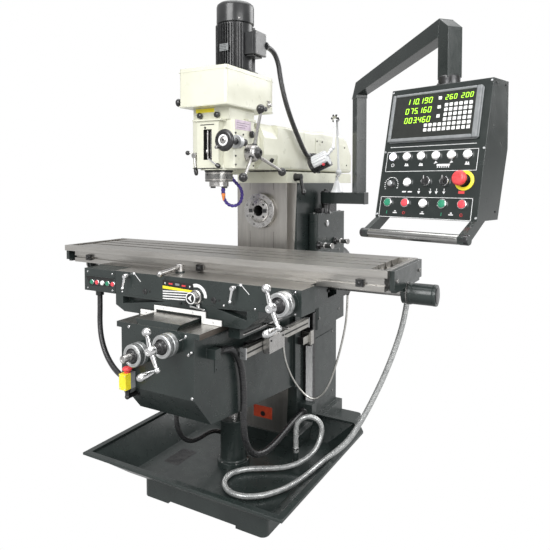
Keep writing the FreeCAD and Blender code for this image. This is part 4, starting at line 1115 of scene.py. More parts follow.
def digits(shape, text, x, z, wide, high, gap):
    """Seven-segment figures from the left, leaning a little."""
    t = wide * 0.16
    bars = {"a": (t, wide - t, high, high - t), "g": (t, wide - t, high / 2 + t / 2, high / 2 - t / 2),
            "d": (t, wide - t, t, 0), "f": (0, t, high - t / 2, high / 2),
            "b": (wide - t, wide, high - t / 2, high / 2),
            "e": (0, t, high / 2, t / 2), "c": (wide - t, wide, high / 2, t / 2)}
    for letter in text:
        if letter == ".":
            shape.box(x - gap * 0.7, x - gap * 0.7 + t, -9.5, -8.9, z, z + t)
            continue
        for name in SEGMENTS[letter]:
            x0, x1, z1, z0 = bars[name]
            corners = [(x + x0 + LEAN_OF_FIGURES * z0, -8.9, z + z0),
                       (x + x1 + LEAN_OF_FIGURES * z0, -8.9, z + z0),
                       (x + x1 + LEAN_OF_FIGURES * z1, -8.9, z + z1),
                       (x + x0 + LEAN_OF_FIGURES * z1, -8.9, z + z1)]
            shape.prism(corners, (0, -0.6, 0))
        x += wide + gap


for text, x, z in ((" 110.190", -118, -58), (" 075.160", -118, -88), (" 003.460", -118, -118)):
    digits(part, text, x, z, 10.5, 18, 5)
digits(part, "260", 30, -54, 9, 15, 4.5)
digits(part, "200", 80, -54, 9, 15, 4.5)
part.done("dro_digits", "pendant", "button_plastic", bevel=0, smooth=False)
part = Shape(panel).use(KEY)
for row in range(6):
    for column in range(6):
        part.box(31 + 15.4 * column, 41.6 + 15.4 * column, -11, -8.8, -75.5 - 14.6 * row, -65 - 14.6 * row)
for row in (4, 5):
    for column in range(4):
        part.box(-30.6 + 15.4 * column, -20 + 15.4 * column, -11, -8.8, -75.5 - 14.6 * row, -65 - 14.6 * row)
for z in (-52, -80, -108):
    part.box(8, 18.6, -11, -8.8, z, z + 10.5)
part.done("dro_keys", "pendant", "button_plastic", bevel=0.8)
part = Shape(panel).use(INK)
for x0, x1, d0, d1 in ((-154, 149, 205, 269), (-156, 149, 348, 412)):
    part.box(x0, x1, -0.5, 0.2, -d0 - 1.4, -d0)
    part.box(x0, x1, -0.5, 0.2, -d1, -d1 + 1.4)
    part.box(x0, x0 + 1.4, -0.5, 0.2, -d1, -d0)
    part.box(x1 - 1.4, x1, -0.5, 0.2, -d1, -d0)
part.box(-146, 140, -0.5, 0.2, -191, -189.4)
for x in (-79, -29, 119):
    part.box(x - 7, x + 7, -0.5, 0.2, -252, -249)
    part.box(x - 5, x - 1, -0.5, 0.2, -249, -243)
    part.box(x + 1, x + 5, -0.5, 0.2, -249, -244)
part.hollow((-129, -0.1, -248), FRONT, 0.5, 5.5, 3.6, 20)
part.box(24, 66, -0.5, 0.2, -254, -248)
for x in (26, 33, 40, 47, 54, 61):
    part.box(x, x + 3, -0.5, 0.2, -259, -255)
for x in (20, 70):
    part.prism([(x - 6, 0.2, -247), (x + 6, 0.2, -243), (x - 1, 0.2, -238)], (0, -0.7, 0))
for i in range(16):
    turn = math.radians(-210 + 15.5 * i)
    x = -124 + 24 * math.cos(turn)
    z = -311 - 24 * math.sin(turn)
    size = 2.4 if i % 2 else 1.5
    part.box(x - size, x + size, -0.5, 0.2, z - 1.1, z + 1.1)
for x in (-82, -62):
    part.box(x, x + 14, -0.5, 0.2, -334, -330)
for x in (-24, 14, 34, 58):
    part.prism([(x - 5, 0.2, -330), (x + 5, 0.2, -330), (x, 0.2, -338)], (0, -0.7, 0))
    part.box(x - 1, x + 1, -0.5, 0.2, -328, -322)
for x in (-98, -4, 88):
    part.box(x - 7, x + 7, -0.5, 0.2, -399, -396)
    part.box(x - 3, x + 3, -0.5, 0.2, -394, -391)
part.done("panel_print", "pendant", "button_plastic", bevel=0, smooth=False)
part = Shape(panel).use(RED)
part.box(103, 121, -0.5, 0.2, -336, -328)
for x in (-67, 119):
    part.hollow((x, -0.1, -397), FRONT, 0.5, 4.4, 3.0, 20)
part.use(GREEN)
part.box(-129, -127, -0.5, 0.2, -402, -392)
part.box(57, 59, -0.5, 0.2, -402, -392)
part.done("panel_print_colours", "pendant", "stop_red", bevel=0, smooth=False)


def push_button(shape, x, d, cap):
    """A round push button in its chromed collar."""
    shape.use(CHROME)
    shape.lathe_loop((x, 0.2, -d), FRONT, [(0, 14.8), (5, 14.4), (7, 13.4), (7.4, 12.2), (6, 11.6),
                                           (0, 11.6)], 40)
    shape.use(cap)
    shape.lathe((x, 0.2, -d), FRONT, [(0, 11.5), (8, 11.5), (9.6, 10.4), (10, 8), (9.6, 0)], 36)


part = Shape(panel)
for number in range(6):
    push_button(part, -129 + 49.6 * number, 222, GLOW if number == 0 else KEY)
push_button(part, -66, 303, KEY)
for number, cap in enumerate((GREEN, PALE_RED, KEY, GREEN, PALE_RED)):
    push_button(part, -126 + 61.5 * number, 367, cap)
part.use(DARK_STEEL)
part.lathe((-124, 0, -308), FRONT, [(0, 13), (1.5, 13), (2, 10.5)], 32)
part.use(ALUMINIUM)
part.lathe((-124, 0, -308), FRONT, [(1.5, 9.5), (12, 8.6), (13.5, 7), (13.8, 0)], 24, lambda turn,
           d: 1 + 0.04 * math.cos(
    12 * turn))
part.use(YELLOW)
part.lathe_loop((117, 0, -298), FRONT, [(0, 29), (1.4, 29), (2, 28), (2, 19), (0, 19)], 56)
part.use(DARK_STEEL)
part.lathe_loop((113, 0, -296), FRONT, [(0, 18), (7.6, 17.6), (8, 17), (8, 14), (0, 14)], 40)
part.done("panel_button_set", "pendant", "button_plastic", ["panel_buttons"], bevel=0.25)
for node, x in (("panel_selector_left", -3), ("panel_selector_right", 57)):
    part = Shape(panel).use(CHROME)
    part.lathe_loop((x, -0.2, -300), FRONT, [(0.2, 15), (5, 14.6), (7, 13.6), (7, 11.5), (0.2, 11.5)], 40)
    part.use(BLACK)
    part.lathe((x, -0.3, -300), FRONT, [(0, 11.4), (8, 11.2), (9, 10.4), (9, 0)], 36)
    part.prism([(x - 4.8, -8, -313), (x + 4.8, -8, -313), (x + 3.8, -8, -287), (x, -8, -284.6),
                (x - 3.8, -8, -287)],
               (0, -11.5, 0))
    part.use(INK)
    part.box(x - 0.8, x + 0.8, -19.9, -19.2, -296, -286)
    part.done(node + "_detail", node, "black_plastic", [node], bevel=0.7)
part = Shape(panel).use(DARK_STEEL)
part.lathe((113, -5, -296), FRONT, [(0, 12.6), (14, 12.6)], 36)
part.use(RED)
part.lathe((113, -17, -296), FRONT, [(0, 14), (2, 20), (5, 21.5), (10, 21.5), (14, 19.5), (16.5, 15),
                                     (17, 9), (17, 0)], 56)
part.done("panel_estop_mushroom", "panel_estop", "stop_red", ["panel_estop"], bevel=0.5)


# ---------------------------------------------------------------- dials and cranks
def dial_and_crank(node, body, x, y_back, z, y_front, hub_front, shaft, handle=True):
    """Graduated dial, black clutch hub and a polished balanced crank, all facing the operator."""
    depth = y_back - y_front
    shape = Shape().use(DIAL)
    shape.lathe_loop((x, y_back, z), FRONT,
                     [(0.3, 17), (0.3, 34), (2, 36.6), (depth * 0.42, 36.6), (depth * 0.46, 35.2),
                                                  (depth * 0.5, 36.4), (depth - 3, 36.4), (depth, 34),
                                                  (depth, 29),
                                                  (depth - 1, 28.4), (depth - 1, 24.5), (depth - 5, 24),
                                                  (depth - 5, 17)], 72)
    shape.use(BLACK)
    clutch = [(0, 23.4), (3, 23.4), (6, 20), (11, 18.5)]
    if handle:
        clutch += [(18, 18.5), (20, 15), (y_front + 6 - hub_front - 26, 14)]
    shape.lathe((x, y_front + 6, z), FRONT, clutch, 40,
                lambda turn, d: 1 + (0.035 * math.cos(18 * turn) if 8 < d < 19 else 0))
    shape.use(STEEL)
    shape.lathe((x, y_back + 0.2, z), BACK, [(0, shaft), (140, shaft)], 24)
    marks = Shape().use(MATT_BLACK)
    for i in range(60):
        turn = math.tau * i / 60
        length = 7 if i % 5 == 0 else 4
        out = Vector((math.cos(turn), 0, math.sin(turn)))
        across = Vector((-math.sin(turn), 0, math.cos(turn)))
        centre = Vector((x, y_front + 4, z))
        corners = [tuple(centre + out * r + across * w) for r,
                   w in ((36, 0.45), (36.65, 0.45), (36.65, -0.45), (36, -0.45))]
        marks.prism(corners, (0, length, 0))
    if not handle:
        shape.use(STEEL)
        shape.lathe((x, hub_front + 4, z), FRONT, [(0, 12), (34, 12), (36, 11), (36, 7), (34, 6), (34, 0)],
                    32)
        shape.use(DARK_STEEL)
        shape.box(x - 2, x + 2, hub_front - 33, hub_front - 12, z + 10.5, z + 12.3)
        shape.done(node + "_detail", body, "chrome", [node], bevel=0.4)
        marks.done(node + "_graduations", body, "black_plastic", bevel=0, smooth=False)
        return
    shape.use(CHROME)
    y = hub_front + 14
    shape.lathe((x, hub_front + 29, z), FRONT,
                [(0, 12), (4, 15), (22, 15), (26, 12), (29, 11.5), (29, 6), (27, 5.5),
                                                     (27, 0)], 36)
    upper = Vector((-16, 0, 54))
    lower = Vector((24, 0, -54))
    for run, first, last in ((upper, 8.6, 5.6), (lower, 8.6, 5.8)):
        shape.lathe(Vector((x, y, z)) + run.normalized() * 9, run, [(0, first), (run.length - 18, last)], 28)
    shape.ball((x - 16, y, z + 54), 13.8, 36, BACK)
    shape.ball((x + 24, y, z - 54), 9.6, 28, BACK)
    shape.lathe((x + 24, y - 6, z - 54), FRONT,
                [(0, 6), (3, 6.5), (6, 5), (12, 6.5), (30, 9.6), (52, 11.6), (64, 11),
                                                      (70, 8), (72, 4), (72, 0)], 36)
    shape.done(node + "_detail", body, "chrome", [node], bevel=0.4)
    marks.done(node + "_graduations", body, "black_plastic", bevel=0, smooth=False)


dial_and_crank("y_crank", "y_crank", 72, -659, 692, -700, -756, 12)
dial_and_crank("z_shaft", "z_shaft", -48, -659, 646, -700, -706, 12, False)
part = Shape().use(STEEL)
part.rod((-48, -520, 646), (-48, -226, 646), 12)
part.lathe((-48, -225, 646), BACK, [(0, 17), (3, 23), (20, 23.4), (24, 20)], 24)
part.done("z_shaft_gear", "z_shaft", "steel", bevel=0.4)
dial_and_crank("x_crank", "x_crank", 414, -551, 834, -590, -640, 11)
part = Shape().use(CHROME)
for x, z in ((72, 692), (-48, 646)):
    part.lathe((x + 37, -640, z + 14), (0.1, -1, 0.05), [(0, 3), (10, 2.4), (18, 1.6), (19, 0)], 16)
part.done("dial_pointers", "knee", "steel", bevel=0)
part = Shape().use(CHROME)
part.lathe((378, -530, 850), (-0.1, -1, 0.05), [(0, 3), (10, 2.4), (18, 1.6), (19, 0)], 16)
part.done("table_dial_pointer", "saddle", "steel", bevel=0)


# ---------------------------------------------------------------- apron, station and saddle
part = Shape().use(MATT_BLACK)
part.prism([(-69, -529.8, 858), (60, -529.8, 855), (60, -529.8, 833), (-69, -529.8, 839)], (0, -1.2, 0))
part.use(YELLOW)
part.prism([(-69, -529.8, 839), (60, -529.8, 833.5), (58, -529.8, 826), (-69, -529.8, 829)], (0, -1.3, 0))
part.use(INK)
for i in range(4):
    part.prism([(-69, -529.8, 822 - 8.4 * i), (46 - 6 * i, -529.8, 828.5 - 9 * i),
                (46 - 6 * i, -529.8, 824.6 - 9 * i),
                (-69, -529.8, 818 - 8.4 * i)], (0, -1.0, 0))
part.prism([(-62, -530, 848), (-56, -530, 852), (-56, -530, 844)], (0, -1.3, 0))
part.prism([(52, -530, 845), (46, -530, 849), (46, -530, 841)], (0, -1.3, 0))
part.use(RED)
part.box(-42, -26, -531.3, -530, 845, 850)
part.box(14, 30, -531.3, -530, 843, 848)
part.use(GREY)
part.box(-14, 4, -531.3, -530, 844, 851)
part.done("apron_label", "saddle", "aluminium", bevel=0, smooth=False)
part = Shape().use(INK)
arc_outer = []
arc_inner = []
for i in range(17):
    turn = math.radians(-2 + 112 * i / 16)
    arc_outer.append((75 + 42 * math.cos(turn), -529.8, 815 + 42 * math.sin(turn)))
    arc_inner.append((75 + 31 * math.cos(turn), -529.8, 815 + 31 * math.sin(turn)))
part.prism(arc_outer + arc_inner[::-1], (0, -1.1, 0))
part.done("apron_arc_plate", "saddle", "aluminium", bevel=0, smooth=False)
part = Shape().use(STEEL)
part.lathe((KNOB_X, -530.3, KNOB_Z), FRONT, [(0, 23), (6, 23), (7.5, 19.5), (30, 19.5), (31.5, 18)], 56)
part.use(INK)
part.lathe_loop((KNOB_X, -561, KNOB_Z), FRONT, [(0, 18.8), (1.2, 18.8), (1.6, 18), (1.6, 15.5), (0, 15.5)],
                48)
part.use(MATT_BLACK)
part.lathe((KNOB_X, -560.8, KNOB_Z), FRONT, [(0, 15.6), (1.1, 15.6), (1.1, 0)], 40)
part.use(INK)
part.prism([(64, -561.8, 815), (80, -561.8, 827), (76, -561.8, 815), (80, -561.8, 803)], (0, -0.5, 0))
part.done("feed_knob_detail", "feed_knob", "steel", ["feed_knob"], bevel=0.4)
for node, x in (("lock_lever_left", -228), ("lock_lever_right", 228)):
    part = Shape().use(CHROME)
    part.lathe((x, -530.6, 858), FRONT, [(0, 7), (3, 7), (4, 9), (18, 9.4), (21, 8), (22, 5), (22, 0)], 32)
    part.taper((x, -547, 858), (x - 6, -551, 822), 5.4, 3.6)
    part.ball((x - 6, -551.5, 817), 6.2, 24)
    part.done(node + "_detail", node, "chrome", [node], bevel=0.3)
part = Shape().use(INK)
for x in (-200, 248):
    part.prism([(x, -529.9, 869), (x + 2.6, -529.9, 869), (x + 32, -529.9, 843), (x + 30, -529.9, 841.5)],
               (0, -0.7, 0))
    part.lathe((x, -529.9, 869), FRONT, [(0, 4.6), (0.7, 4.6), (0.7, 0)], 16)
part.done("apron_marks", "saddle", "aluminium", bevel=0, smooth=False)
part = Shape().use(DARK_STEEL)
for x in (-150, 144):
    part.lathe_loop((x, -529.5, 810), FRONT, [(0, 10), (2, 10), (3, 9), (3, 6.5), (0, 6)], 32)
    part.screw((x, -530, 810), FRONT, 6.4, 2.4)
    part.screw((x + 22, -530, 812), FRONT, 3.4, 2)
part.use(CHROME)
for x, z in ((-433, 858), (-433, 798), (-307, 858), (-307, 798), (-258, 799), (183, 797), (300, 799),
             (440, 800), (440, 864)):
    part.lathe((x, -529.6, z), FRONT, [(0, 3.6), (1.4, 3.4), (2.2, 2.2), (2.2, 0)], 16)
part.done("apron_screws", "saddle", "steel", bevel=0)
part = Shape().use(MATT_BLACK)
part.prism([(-444, -529.7, 842), (-300, -529.7, 842), (-300, -529.7, 812), (-420, -529.7, 806)],
           (0, -0.7, 0))
part.use(CASTING)
part.prism([(-446, -530, 845), (-298, -530, 845), (-298, -530, 842), (-446, -530, 842)], (0, -2.2, 0))
part.use(DARK_STEEL)
part.box(-293.6, -292.4, -531, -520, 790, 871)
part.lathe((-420, -485, 789), DOWN, [(0, 19), (8, 19), (9, 16), (24, 14), (25.5, 12)], 8)
part.done("station_recess", "saddle", "casting_grey", bevel=0.3)
part = Shape()
for number, cap in enumerate((GREEN, PALE_RED, KEY, GREEN, PALE_RED)):
    x = -407 + 26.5 * number
    part.use(CHROME)
    part.lathe_loop((x, -530, 822), FRONT, [(0, 10), (3.5, 10), (5, 9), (5.4, 8.4), (0, 8.2)], 32)
    part.use(cap)
    part.lathe((x, -530, 822), FRONT, [(0, 8.1), (6, 8.1), (7.6, 7), (8, 5), (7.8, 0)], 28)
part.done("station_button_set", "saddle", "button_plastic", ["station_buttons"], bevel=0.2)
part = Shape().use(WHITE)
part.prism([(-168, -534, 729.8), (-168, -534, 748), (-105, -534, 748), (-105, -534, 769), (113, -534, 769),
            (113, -534, 748),
            (176, -534, 748), (176, -534, 729.8), (97, -534, 729.8), (97, -534, 755), (-97, -534, 755),
            (-97, -534, 729.8)],
           (0, 3.5, 0))
part.use(RUBBER)
part.prism([(-170, -530.6, 729.4), (-170, -530.6, 750), (-108, -530.6, 750), (-108, -530.6, 771),
            (116, -530.6, 771),
            (116, -530.6, 750), (178, -530.6, 750), (178, -530.6, 729.4), (95.5, -530.6, 729.4),
            (95.5, -530.6, 753),
            (-95.5, -530.6, 753), (-95.5, -530.6, 729.4)], (0, 2.4, 0))
part.done("saddle_wiper", "saddle", "white_enamel", bevel=0.4)
part = Shape().use(CHROME)
for x, z in ((-140, 739), (146, 739), (-60, 762), (64, 762)):
    part.lathe((x, -533.8, z), FRONT, [(0, 3.6), (1.2, 3.4), (1.8, 2.2), (1.8, 0)], 16)
part.rod((52, -536, 782), (112, -536, 776), 3)
part.lathe((84, -530, 786), FRONT, [(0, 7), (5, 7), (6.5, 5), (6.5, 0)], 24)
part.use(DARK_STEEL)
part.screw((30, -530, 787), FRONT, 4.5, 3)
part.screw((8, -530, 785), FRONT, 3.6, 3)
part.done("wiper_screws", "saddle", "chrome", bevel=0)
part = Shape().use(STEEL)
part.lathe((-59, -452, 872), UP, [(5.5, 17.2), (6.6, 15), (30, 15), (31.5, 13.5), (31.5, 0)], 44)
run = Vector((-54, -560, 883)) - Vector((-59, -452, 890))
part.lathe((-59, -452, 890), run, [(10, 9), (14, 9.2), (run.length - 2, 9.2), (run.length + 3, 9.8),
                                   (run.length + 7, 8.4),
                                   (run.length + 9.4, 5), (run.length + 10, 0)], 36)
part.done("feed_lever_detail", "feed_lever", "steel", ["feed_lever"], bevel=0.4)
part = Shape().use(STEEL_X)
part.box(173, 440, -119.6, -99.4, 862, 870.5)
part.box(-470, -293, -119.6, -99.4, 862, 870.5)
part.done("saddle_rear_way", "saddle", "machined_steel", bevel=0.4)
part = Shape().use(CASTING)
for x0, x1 in ((-466, -455), (425, 436)):
    part.box(x0, x1, -438, -104, 786, 793.2)
part.use(DARK_STEEL)
for x in (-440, -300, 0, 300, 410):
    part.screw((x, -100, 820), BACK, 5, 4)
part.screw((440, -300, 830), RIGHT, 5, 4)
part.screw((440, -200, 830), RIGHT, 5, 4)
part.use(RED)
part.lathe((430, -106, 793), DOWN, [(-0.5, 8), (2, 8)], 6)
part.use(DARK_STEEL)
part.lathe((430, -106, 793.4), DOWN, [(0, 8.5), (7, 8.5), (8, 6.5), (14, 5.5)], 6)
part.done("saddle_fittings", "saddle", "casting_grey", bevel=0.3)
part = Shape().use(STEEL)
part.box(212, 238, -338, -231, 596, 652)
part.box(209, 216, -345, -224, 652, 668)
part.box(218, 234, -300, -262, 668, 693)
part.rod((236, -500, 704), (236, -250, 704), 4)
part.rod((150, -352, 706), (320, -352, 700), 5)
part.use(DARK_STEEL)
part.lathe((222, -212, 606), DOWN, [(0, 7), (10, 7), (14, 4.6)], 20)
part.box(214, 236, -231, -206, 600, 622)
for y in (-326, -243):
    part.screw((238, y, 640), RIGHT, 3.6, 2.4)
part.done("scale_reader_y", "saddle", "aluminium", bevel=0.8)


# ---------------------------------------------------------------- knee
part = Shape().use(CHROME)
for x, z in ((118, 716), (142, 527), (-142, 527), (-118, 716)):
    part.lathe((x, -639.6, z), FRONT, [(0, 5), (1.4, 4.8), (2.6, 3), (2.6, 0)], 20)
for y, z in ((-530, 648), (-530, 586), (-300, 648), (-300, 586)):
    part.lathe((150.6, y, z), RIGHT, [(0, 4), (1.4, 3.8), (2.4, 2.4), (2.4, 0)], 18)
    part.lathe((-150.6, y, z), LEFT, [(0, 4), (1.4, 3.8), (2.4, 2.4), (2.4, 0)], 18)
part.taper((134, -642, 662), (150, -652, 674), 3.2, 2.4)
part.ball((150, -652, 674), 4.2, 18)
part.lathe((132, -639.8, 662), FRONT, [(0, 5), (5, 5), (6, 3.6), (6, 0)], 20)
part.done("knee_screws", "knee", "steel", bevel=0)
part = Shape().use(CASTING)
part.box(150.6, 153, -538, -292, 578, 656)
part.box(-153, -150.6, -538, -292, 578, 656)
part.done("knee_side_covers", "knee", "casting_grey", bevel=0.8)
part = Shape().use(DARK_STEEL)
part.lathe((-152, -548, 495), LEFT, [(0, 21), (9, 21), (10, 18), (23, 15), (25, 12.5)], 8)
part.lathe((170, -553, 652), BACK, [(0, 18), (8, 18), (10, 16), (22, 15), (26, 13)], 8)
part.lathe((-100, -432, 420), DOWN, [(0, 18), (14, 18), (16, 15), (25, 13), (27, 11)], 8)
part.done("knee_glands", "knee", "steel", bevel=0.4)
part = Shape().use(DARK_STEEL)
part.box(186.5, 189.8, -442, 18, 603, 641)
part.use(ALUMINIUM)
for y in (-446, 19):
    part.box(187, 211.4, y, y + 4, 602, 642)
part.use(MATT_BLACK)
part.box(209.6, 210.4, -436, 12, 619, 625)
part.done("scale_rail_y", "knee", "aluminium", bevel=0.5)
part = Shape().use(YELLOW)
part.box(-119.6, -90.4, -684, -661, 522.5, 573.5)
part.use(GREY)
part.box(-120, -90, -661, -640.6, 522, 574)
part.use(RED)
part.lathe((-105, -662, 573.5), UP, [(0, 10), (7, 10), (8, 14), (11, 16.4), (15, 15.6), (18, 12), (20, 7),
                                     (20.4, 0)], 44)
part.use(CHROME)
for x in (-116, -94):
    for z in (527, 569):
        part.lathe((x, -683.8, z), FRONT, [(0, 2.2), (0.8, 2.0), (0.8, 0)], 14)
part.use(DARK_STEEL)
part.lathe((-105, -662, 523), DOWN, [(0, 12), (6, 12), (8, 10), (14, 9)], 6)
part.rod((-105, -662, 512), (-105, -662, 494), 7.5)
part.ball((-105, -662, 494), 8.6, 28)
part.rod((-105, -662, 494), (-105, -608, 494), 7.5)
part.lathe((-105, -622, 494), BACK, [(0, 11), (8, 11), (9, 12), (12, 12)], 6)
part.done("stop_box_detail", "knee", "stop_red", ["stop_box"], bevel=1.2, segments=3)
part = Shape().use(STEEL)
for turn in range(58):
    z = 242 + 7 * turn
    part.lathe_loop((0, KNEE_SCREW_Y, z), UP,
                    [(0, 17.4), (1.6, 18.3), (3.2, 18.3), (4.8, 17.4), (4.8, 16), (0, 16)], 28)
part.done("knee_screw_thread", "knee_screw", "steel", bevel=0)


# ---------------------------------------------------------------- column, gearbox and spindle face
part = Shape().use(DARK_STEEL)
for x in (-57, 57):
    for z0, z1 in ((330, 985), (1158, 1186)):
        part.box(x - 0.6, x + 0.6, -0.25, 0.4, z0, z1)
part.done("column_face_seams", "column", "machined_steel", bevel=0, smooth=False)
part = Shape().use(ORANGE_RED)
part.box(-41, 49, -0.3, 0.2, 196, 246)
part.use(MATT_BLACK)
part.lathe((4, -0.1, 213), FRONT, [(0, 11), (0.3, 11), (0.3, 0)], 32)
part.done("column_label", "column", "machined_steel", bevel=0)
part = Shape().use(STEEL)
part.lathe_loop((0, -21.5, HORIZONTAL_Z), FRONT, [(0, 71.8), (0.8, 71.8), (1.8, 70.8), (1.8, 50), (0, 49)],
                80)
part.done("spindle_flange_face", "column", "machined_steel", bevel=0)
part = Shape().use(DARK_STEEL)
for turn in turns(8, 0.5):
    part.screw((60.5 * math.cos(turn), -23.2, HORIZONTAL_Z + 60.5 * math.sin(turn)), FRONT, 4.6, 0.6)
part.done("spindle_flange_screws", "column", "steel", bevel=0)
part = Shape().use(STEEL)
part.lathe_loop((0, 404, HORIZONTAL_Z), BACK, [(0, 30), (0, 8.5), (62, 8.5), (63, 26), (64, 30)], 48)
part.lathe_loop((0, -26, HORIZONTAL_Z), BACK, [(0, 48), (0, 22.5), (-2.4, 23.4), (-2.4, 44), (-1.2, 47.6)],
                72)
part.use(DARK_STEEL)
for x0, x1 in ((25, 41), (-41, -25)):
    part.box(x0, x1, -35, -27, 1064.5, 1079.5)
part.use(MATT_BLACK)
for i in range(4):
    turn = math.radians(45 + 90 * i)
    part.lathe((35 * math.cos(turn), -28.2, HORIZONTAL_Z + 35 * math.sin(turn)), FRONT,
               [(0, 4.6), (0.5, 4.6), (0.5, 0)], 20)
part.done("horizontal_spindle_face", "horizontal_spindle", "steel", bevel=0.3)
dress("horizontal_spindle", [STEEL, MATT_BLACK],
      lambda centre, normal: math.hypot(centre.x, centre.z - HORIZONTAL_Z) < 23 and -25 < centre.y < 400)

for node, y, z in (("gear_lever_front", 150, 921), ("gear_lever_rear", 318, 925)):
    part = Shape().use(DARK_STEEL)
    part.lathe((189.6, y, z), RIGHT, [(0, 18), (3, 18), (4, 16), (13, 15), (15, 12), (15, 0)], 36)
    part.use(STEEL)
    start = Vector((200, y, z))
    run = Vector((262, y - 18, z + 3)) - start
    part.lathe(start, run, [(0, 7), (20, 6.8), (22, 9), (24, 13.2), (27, 13.4), (30, 10), (54, 9.4),
                            (60, 11.5),
                            (64, 12.6), (66.5, 11.5), (67, 0)], 36)
    part.done(node + "_detail", node, "steel", [node], bevel=0.4)
part = Shape().use(CASTING)
part.box(188.6, 192, 150, 372, 760, 890)
part.box(188.6, 191, 150, 372, 600, 700)
part.box(148, 187, 140, 436, 1051.5, 1056)
part.done("gearbox_covers", "column", "casting_grey", bevel=1.5)
part = Shape().use(BLACK)
part.lathe((200.5, 400, 720), RIGHT, [(0, 44), (3, 44), (5, 41), (5, 22), (12, 20), (20, 19), (22, 16),
                                      (22, 0)], 56,
           lambda turn, d: 1 + (0.03 * math.cos(16 * turn) if 6 < d < 21 else 0))
part.box(156, 184, 196, 222, 1056, 1078)
part.box(150, 172, 300, 372, 1056, 1088)
part.use(INK)
for turn in turns(12):
    y = 400 + 33 * math.cos(turn)
    z = 720 + 33 * math.sin(turn)
    part.box(205.4, 205.9, y - 1.6, y + 1.6, z - 3, z + 3)
part.done("speed_dial", "column", "black_plastic", bevel=0.5)
part = Shape().use(STEEL)
for y, z in ((158, 768), (364, 768), (158, 882), (364, 882), (158, 608), (364, 608), (158, 692), (364, 692)):
    part.screw((191.4, y, z), RIGHT, 4.2, 3)
for y in (152, 424):
    part.screw((168, y, 1055.5), UP, 5, 4)
part.lathe((189, 236, 1010), RIGHT, [(-0.5, 14), (4, 14), (5.5, 12), (5.5, 0)], 36)
part.done("gearbox_screws", "column", "steel", bevel=0)
part = Shape().use(LENS)
part.lathe((189, 236, 1010), RIGHT, [(5, 10), (6.4, 10), (7.6, 6), (7.8, 0)], 32)
part.done("oil_window", "column", "aluminium", bevel=0)
part = Shape().use(ALUMINIUM)
part.box(157, 191, 95.7, 96.4, 266, 526)
part.use(INK)
part.box(159, 189, 95.55, 95.75, 268, 524)
part.done("z_scale_strip", "column", "aluminium", bevel=0.3)
part = Shape().use(DARK_STEEL)
part.box(146, 192, 94.6, 121, 243, 251)
part.box(146, 192, 94.6, 121, 635, 642)
for z in (330, 450, 590):
    part.screw((191, 108, z), RIGHT, 2.6, 1.6)
part.lathe((176, 41, 240), FRONT, [(0, 20), (4, 19), (7, 14)], 8)
part.lathe((-105, -33, 125), FRONT, [(-20, 17), (0, 17), (4, 15), (16, 12), (18, 10.5)], 8)
part.done("column_fittings", "column", "steel", bevel=0.5)
part = Shape().use(STEEL_Y)
part.box(195.6, 197.4, 65, 92, 519, 571)
part.box(155, 193, 60.6, 62.4, 519, 571)
part.use(DARK_STEEL)
part.box(151, 197, 61, 95.3, 512.5, 516)
part.box(151, 197, 61, 95.3, 574, 577.5)
part.done("z_scale_reader", "knee", "aluminium", bevel=0.8)
part = Shape().use(CASTING)
part.box(-148.4, -145.5, 120, 400, 560, 1000)
part.box(-148, -145.5, 120, 400, 230, 480)
part.box(-110, 110, 439.6, 442.4, 900, 1130)
part.box(-110, 110, 439.6, 442.4, 200, 560)
part.box(147, 149, 150, 400, 200, 500)
part.done("column_covers", "column", "casting_grey", bevel=1.5)
part = Shape().use(DARK_STEEL)
for z in range(5):
    part.box(-60, 60, 442.2, 443, 250 + 14 * z, 256 + 14 * z)
part.use(STEEL)
for x in (-100, 100):
    for z in (910, 1120, 210, 550):
        part.screw((x, 442, z), BACK, 4.2, 3)
for y in (130, 390):
    for z in (570, 990, 240, 470):
        part.screw((-148, y, z), LEFT, 4.2, 3)
    for z in (210, 490):
        part.screw((148.6, y + 20 * (y < 200), z), RIGHT, 4.2, 3)
part.done("cover_screws", "column", "steel", bevel=0)
part = Shape().use(CASTING)
part.lathe_loop((0, KNEE_SCREW_Y, 101), UP,
                [(0, 62.6), (12, 62.6), (19, 60), (22, 52), (26, 50.4), (26, 48), (0, 48)], 72)
part.lathe_loop((0, KNEE_SCREW_Y, 262), UP,
                [(0, 49), (2, 51.4), (16, 51.4), (18.4, 49), (18.4, 30), (0, 30)], 72)
part.use(STEEL)
for turn in turns(6, 0.25):
    part.bolt((56.5 * math.cos(turn), -213 + 56.5 * math.sin(turn), 118), UP, 4, 3)
part.done("post_rings", "column", "casting_grey", bevel=0.6)
part = Shape().use(STEEL)
part.lathe((212, -95, 101), UP, [(0, 16), (8, 16), (9, 13.2), (38, 13.2)], 6)
part.use(CHROME)
part.lathe_loop((212, -95, 150), UP, [(0, 10), (0, 11.6), (9, 11.6), (9, 10)], 36)
part.done("drain_barb", "column", "steel", bevel=0.3)
part = Shape().use(CASTING)
part.box(-419, 419, -575, -569, 187, 196)
part.done("tray_lip", "column", "casting_grey", bevel=1.6)
part = Shape().use(DARK_STEEL)
for i in range(7):
    part.box(-236 + 9 * i, -232 + 9 * i, -330, -230, 100.8, 101.6)
part.box(-242, -172, -340, -220, 100.6, 101.2)
part.done("tray_strainer", "column", "steel", bevel=0)
part = Shape().use(CASTING)
part.box(-100, 100, 469.6, 472, 22, 78)
for side in (-1, 1):
    x0, x1 = sorted((side * 269.6, side * 272))
    part.box(x0, x1, -300, 300, 26, 74)
part.done("base_panels", "column", "casting_grey", bevel=1.2)


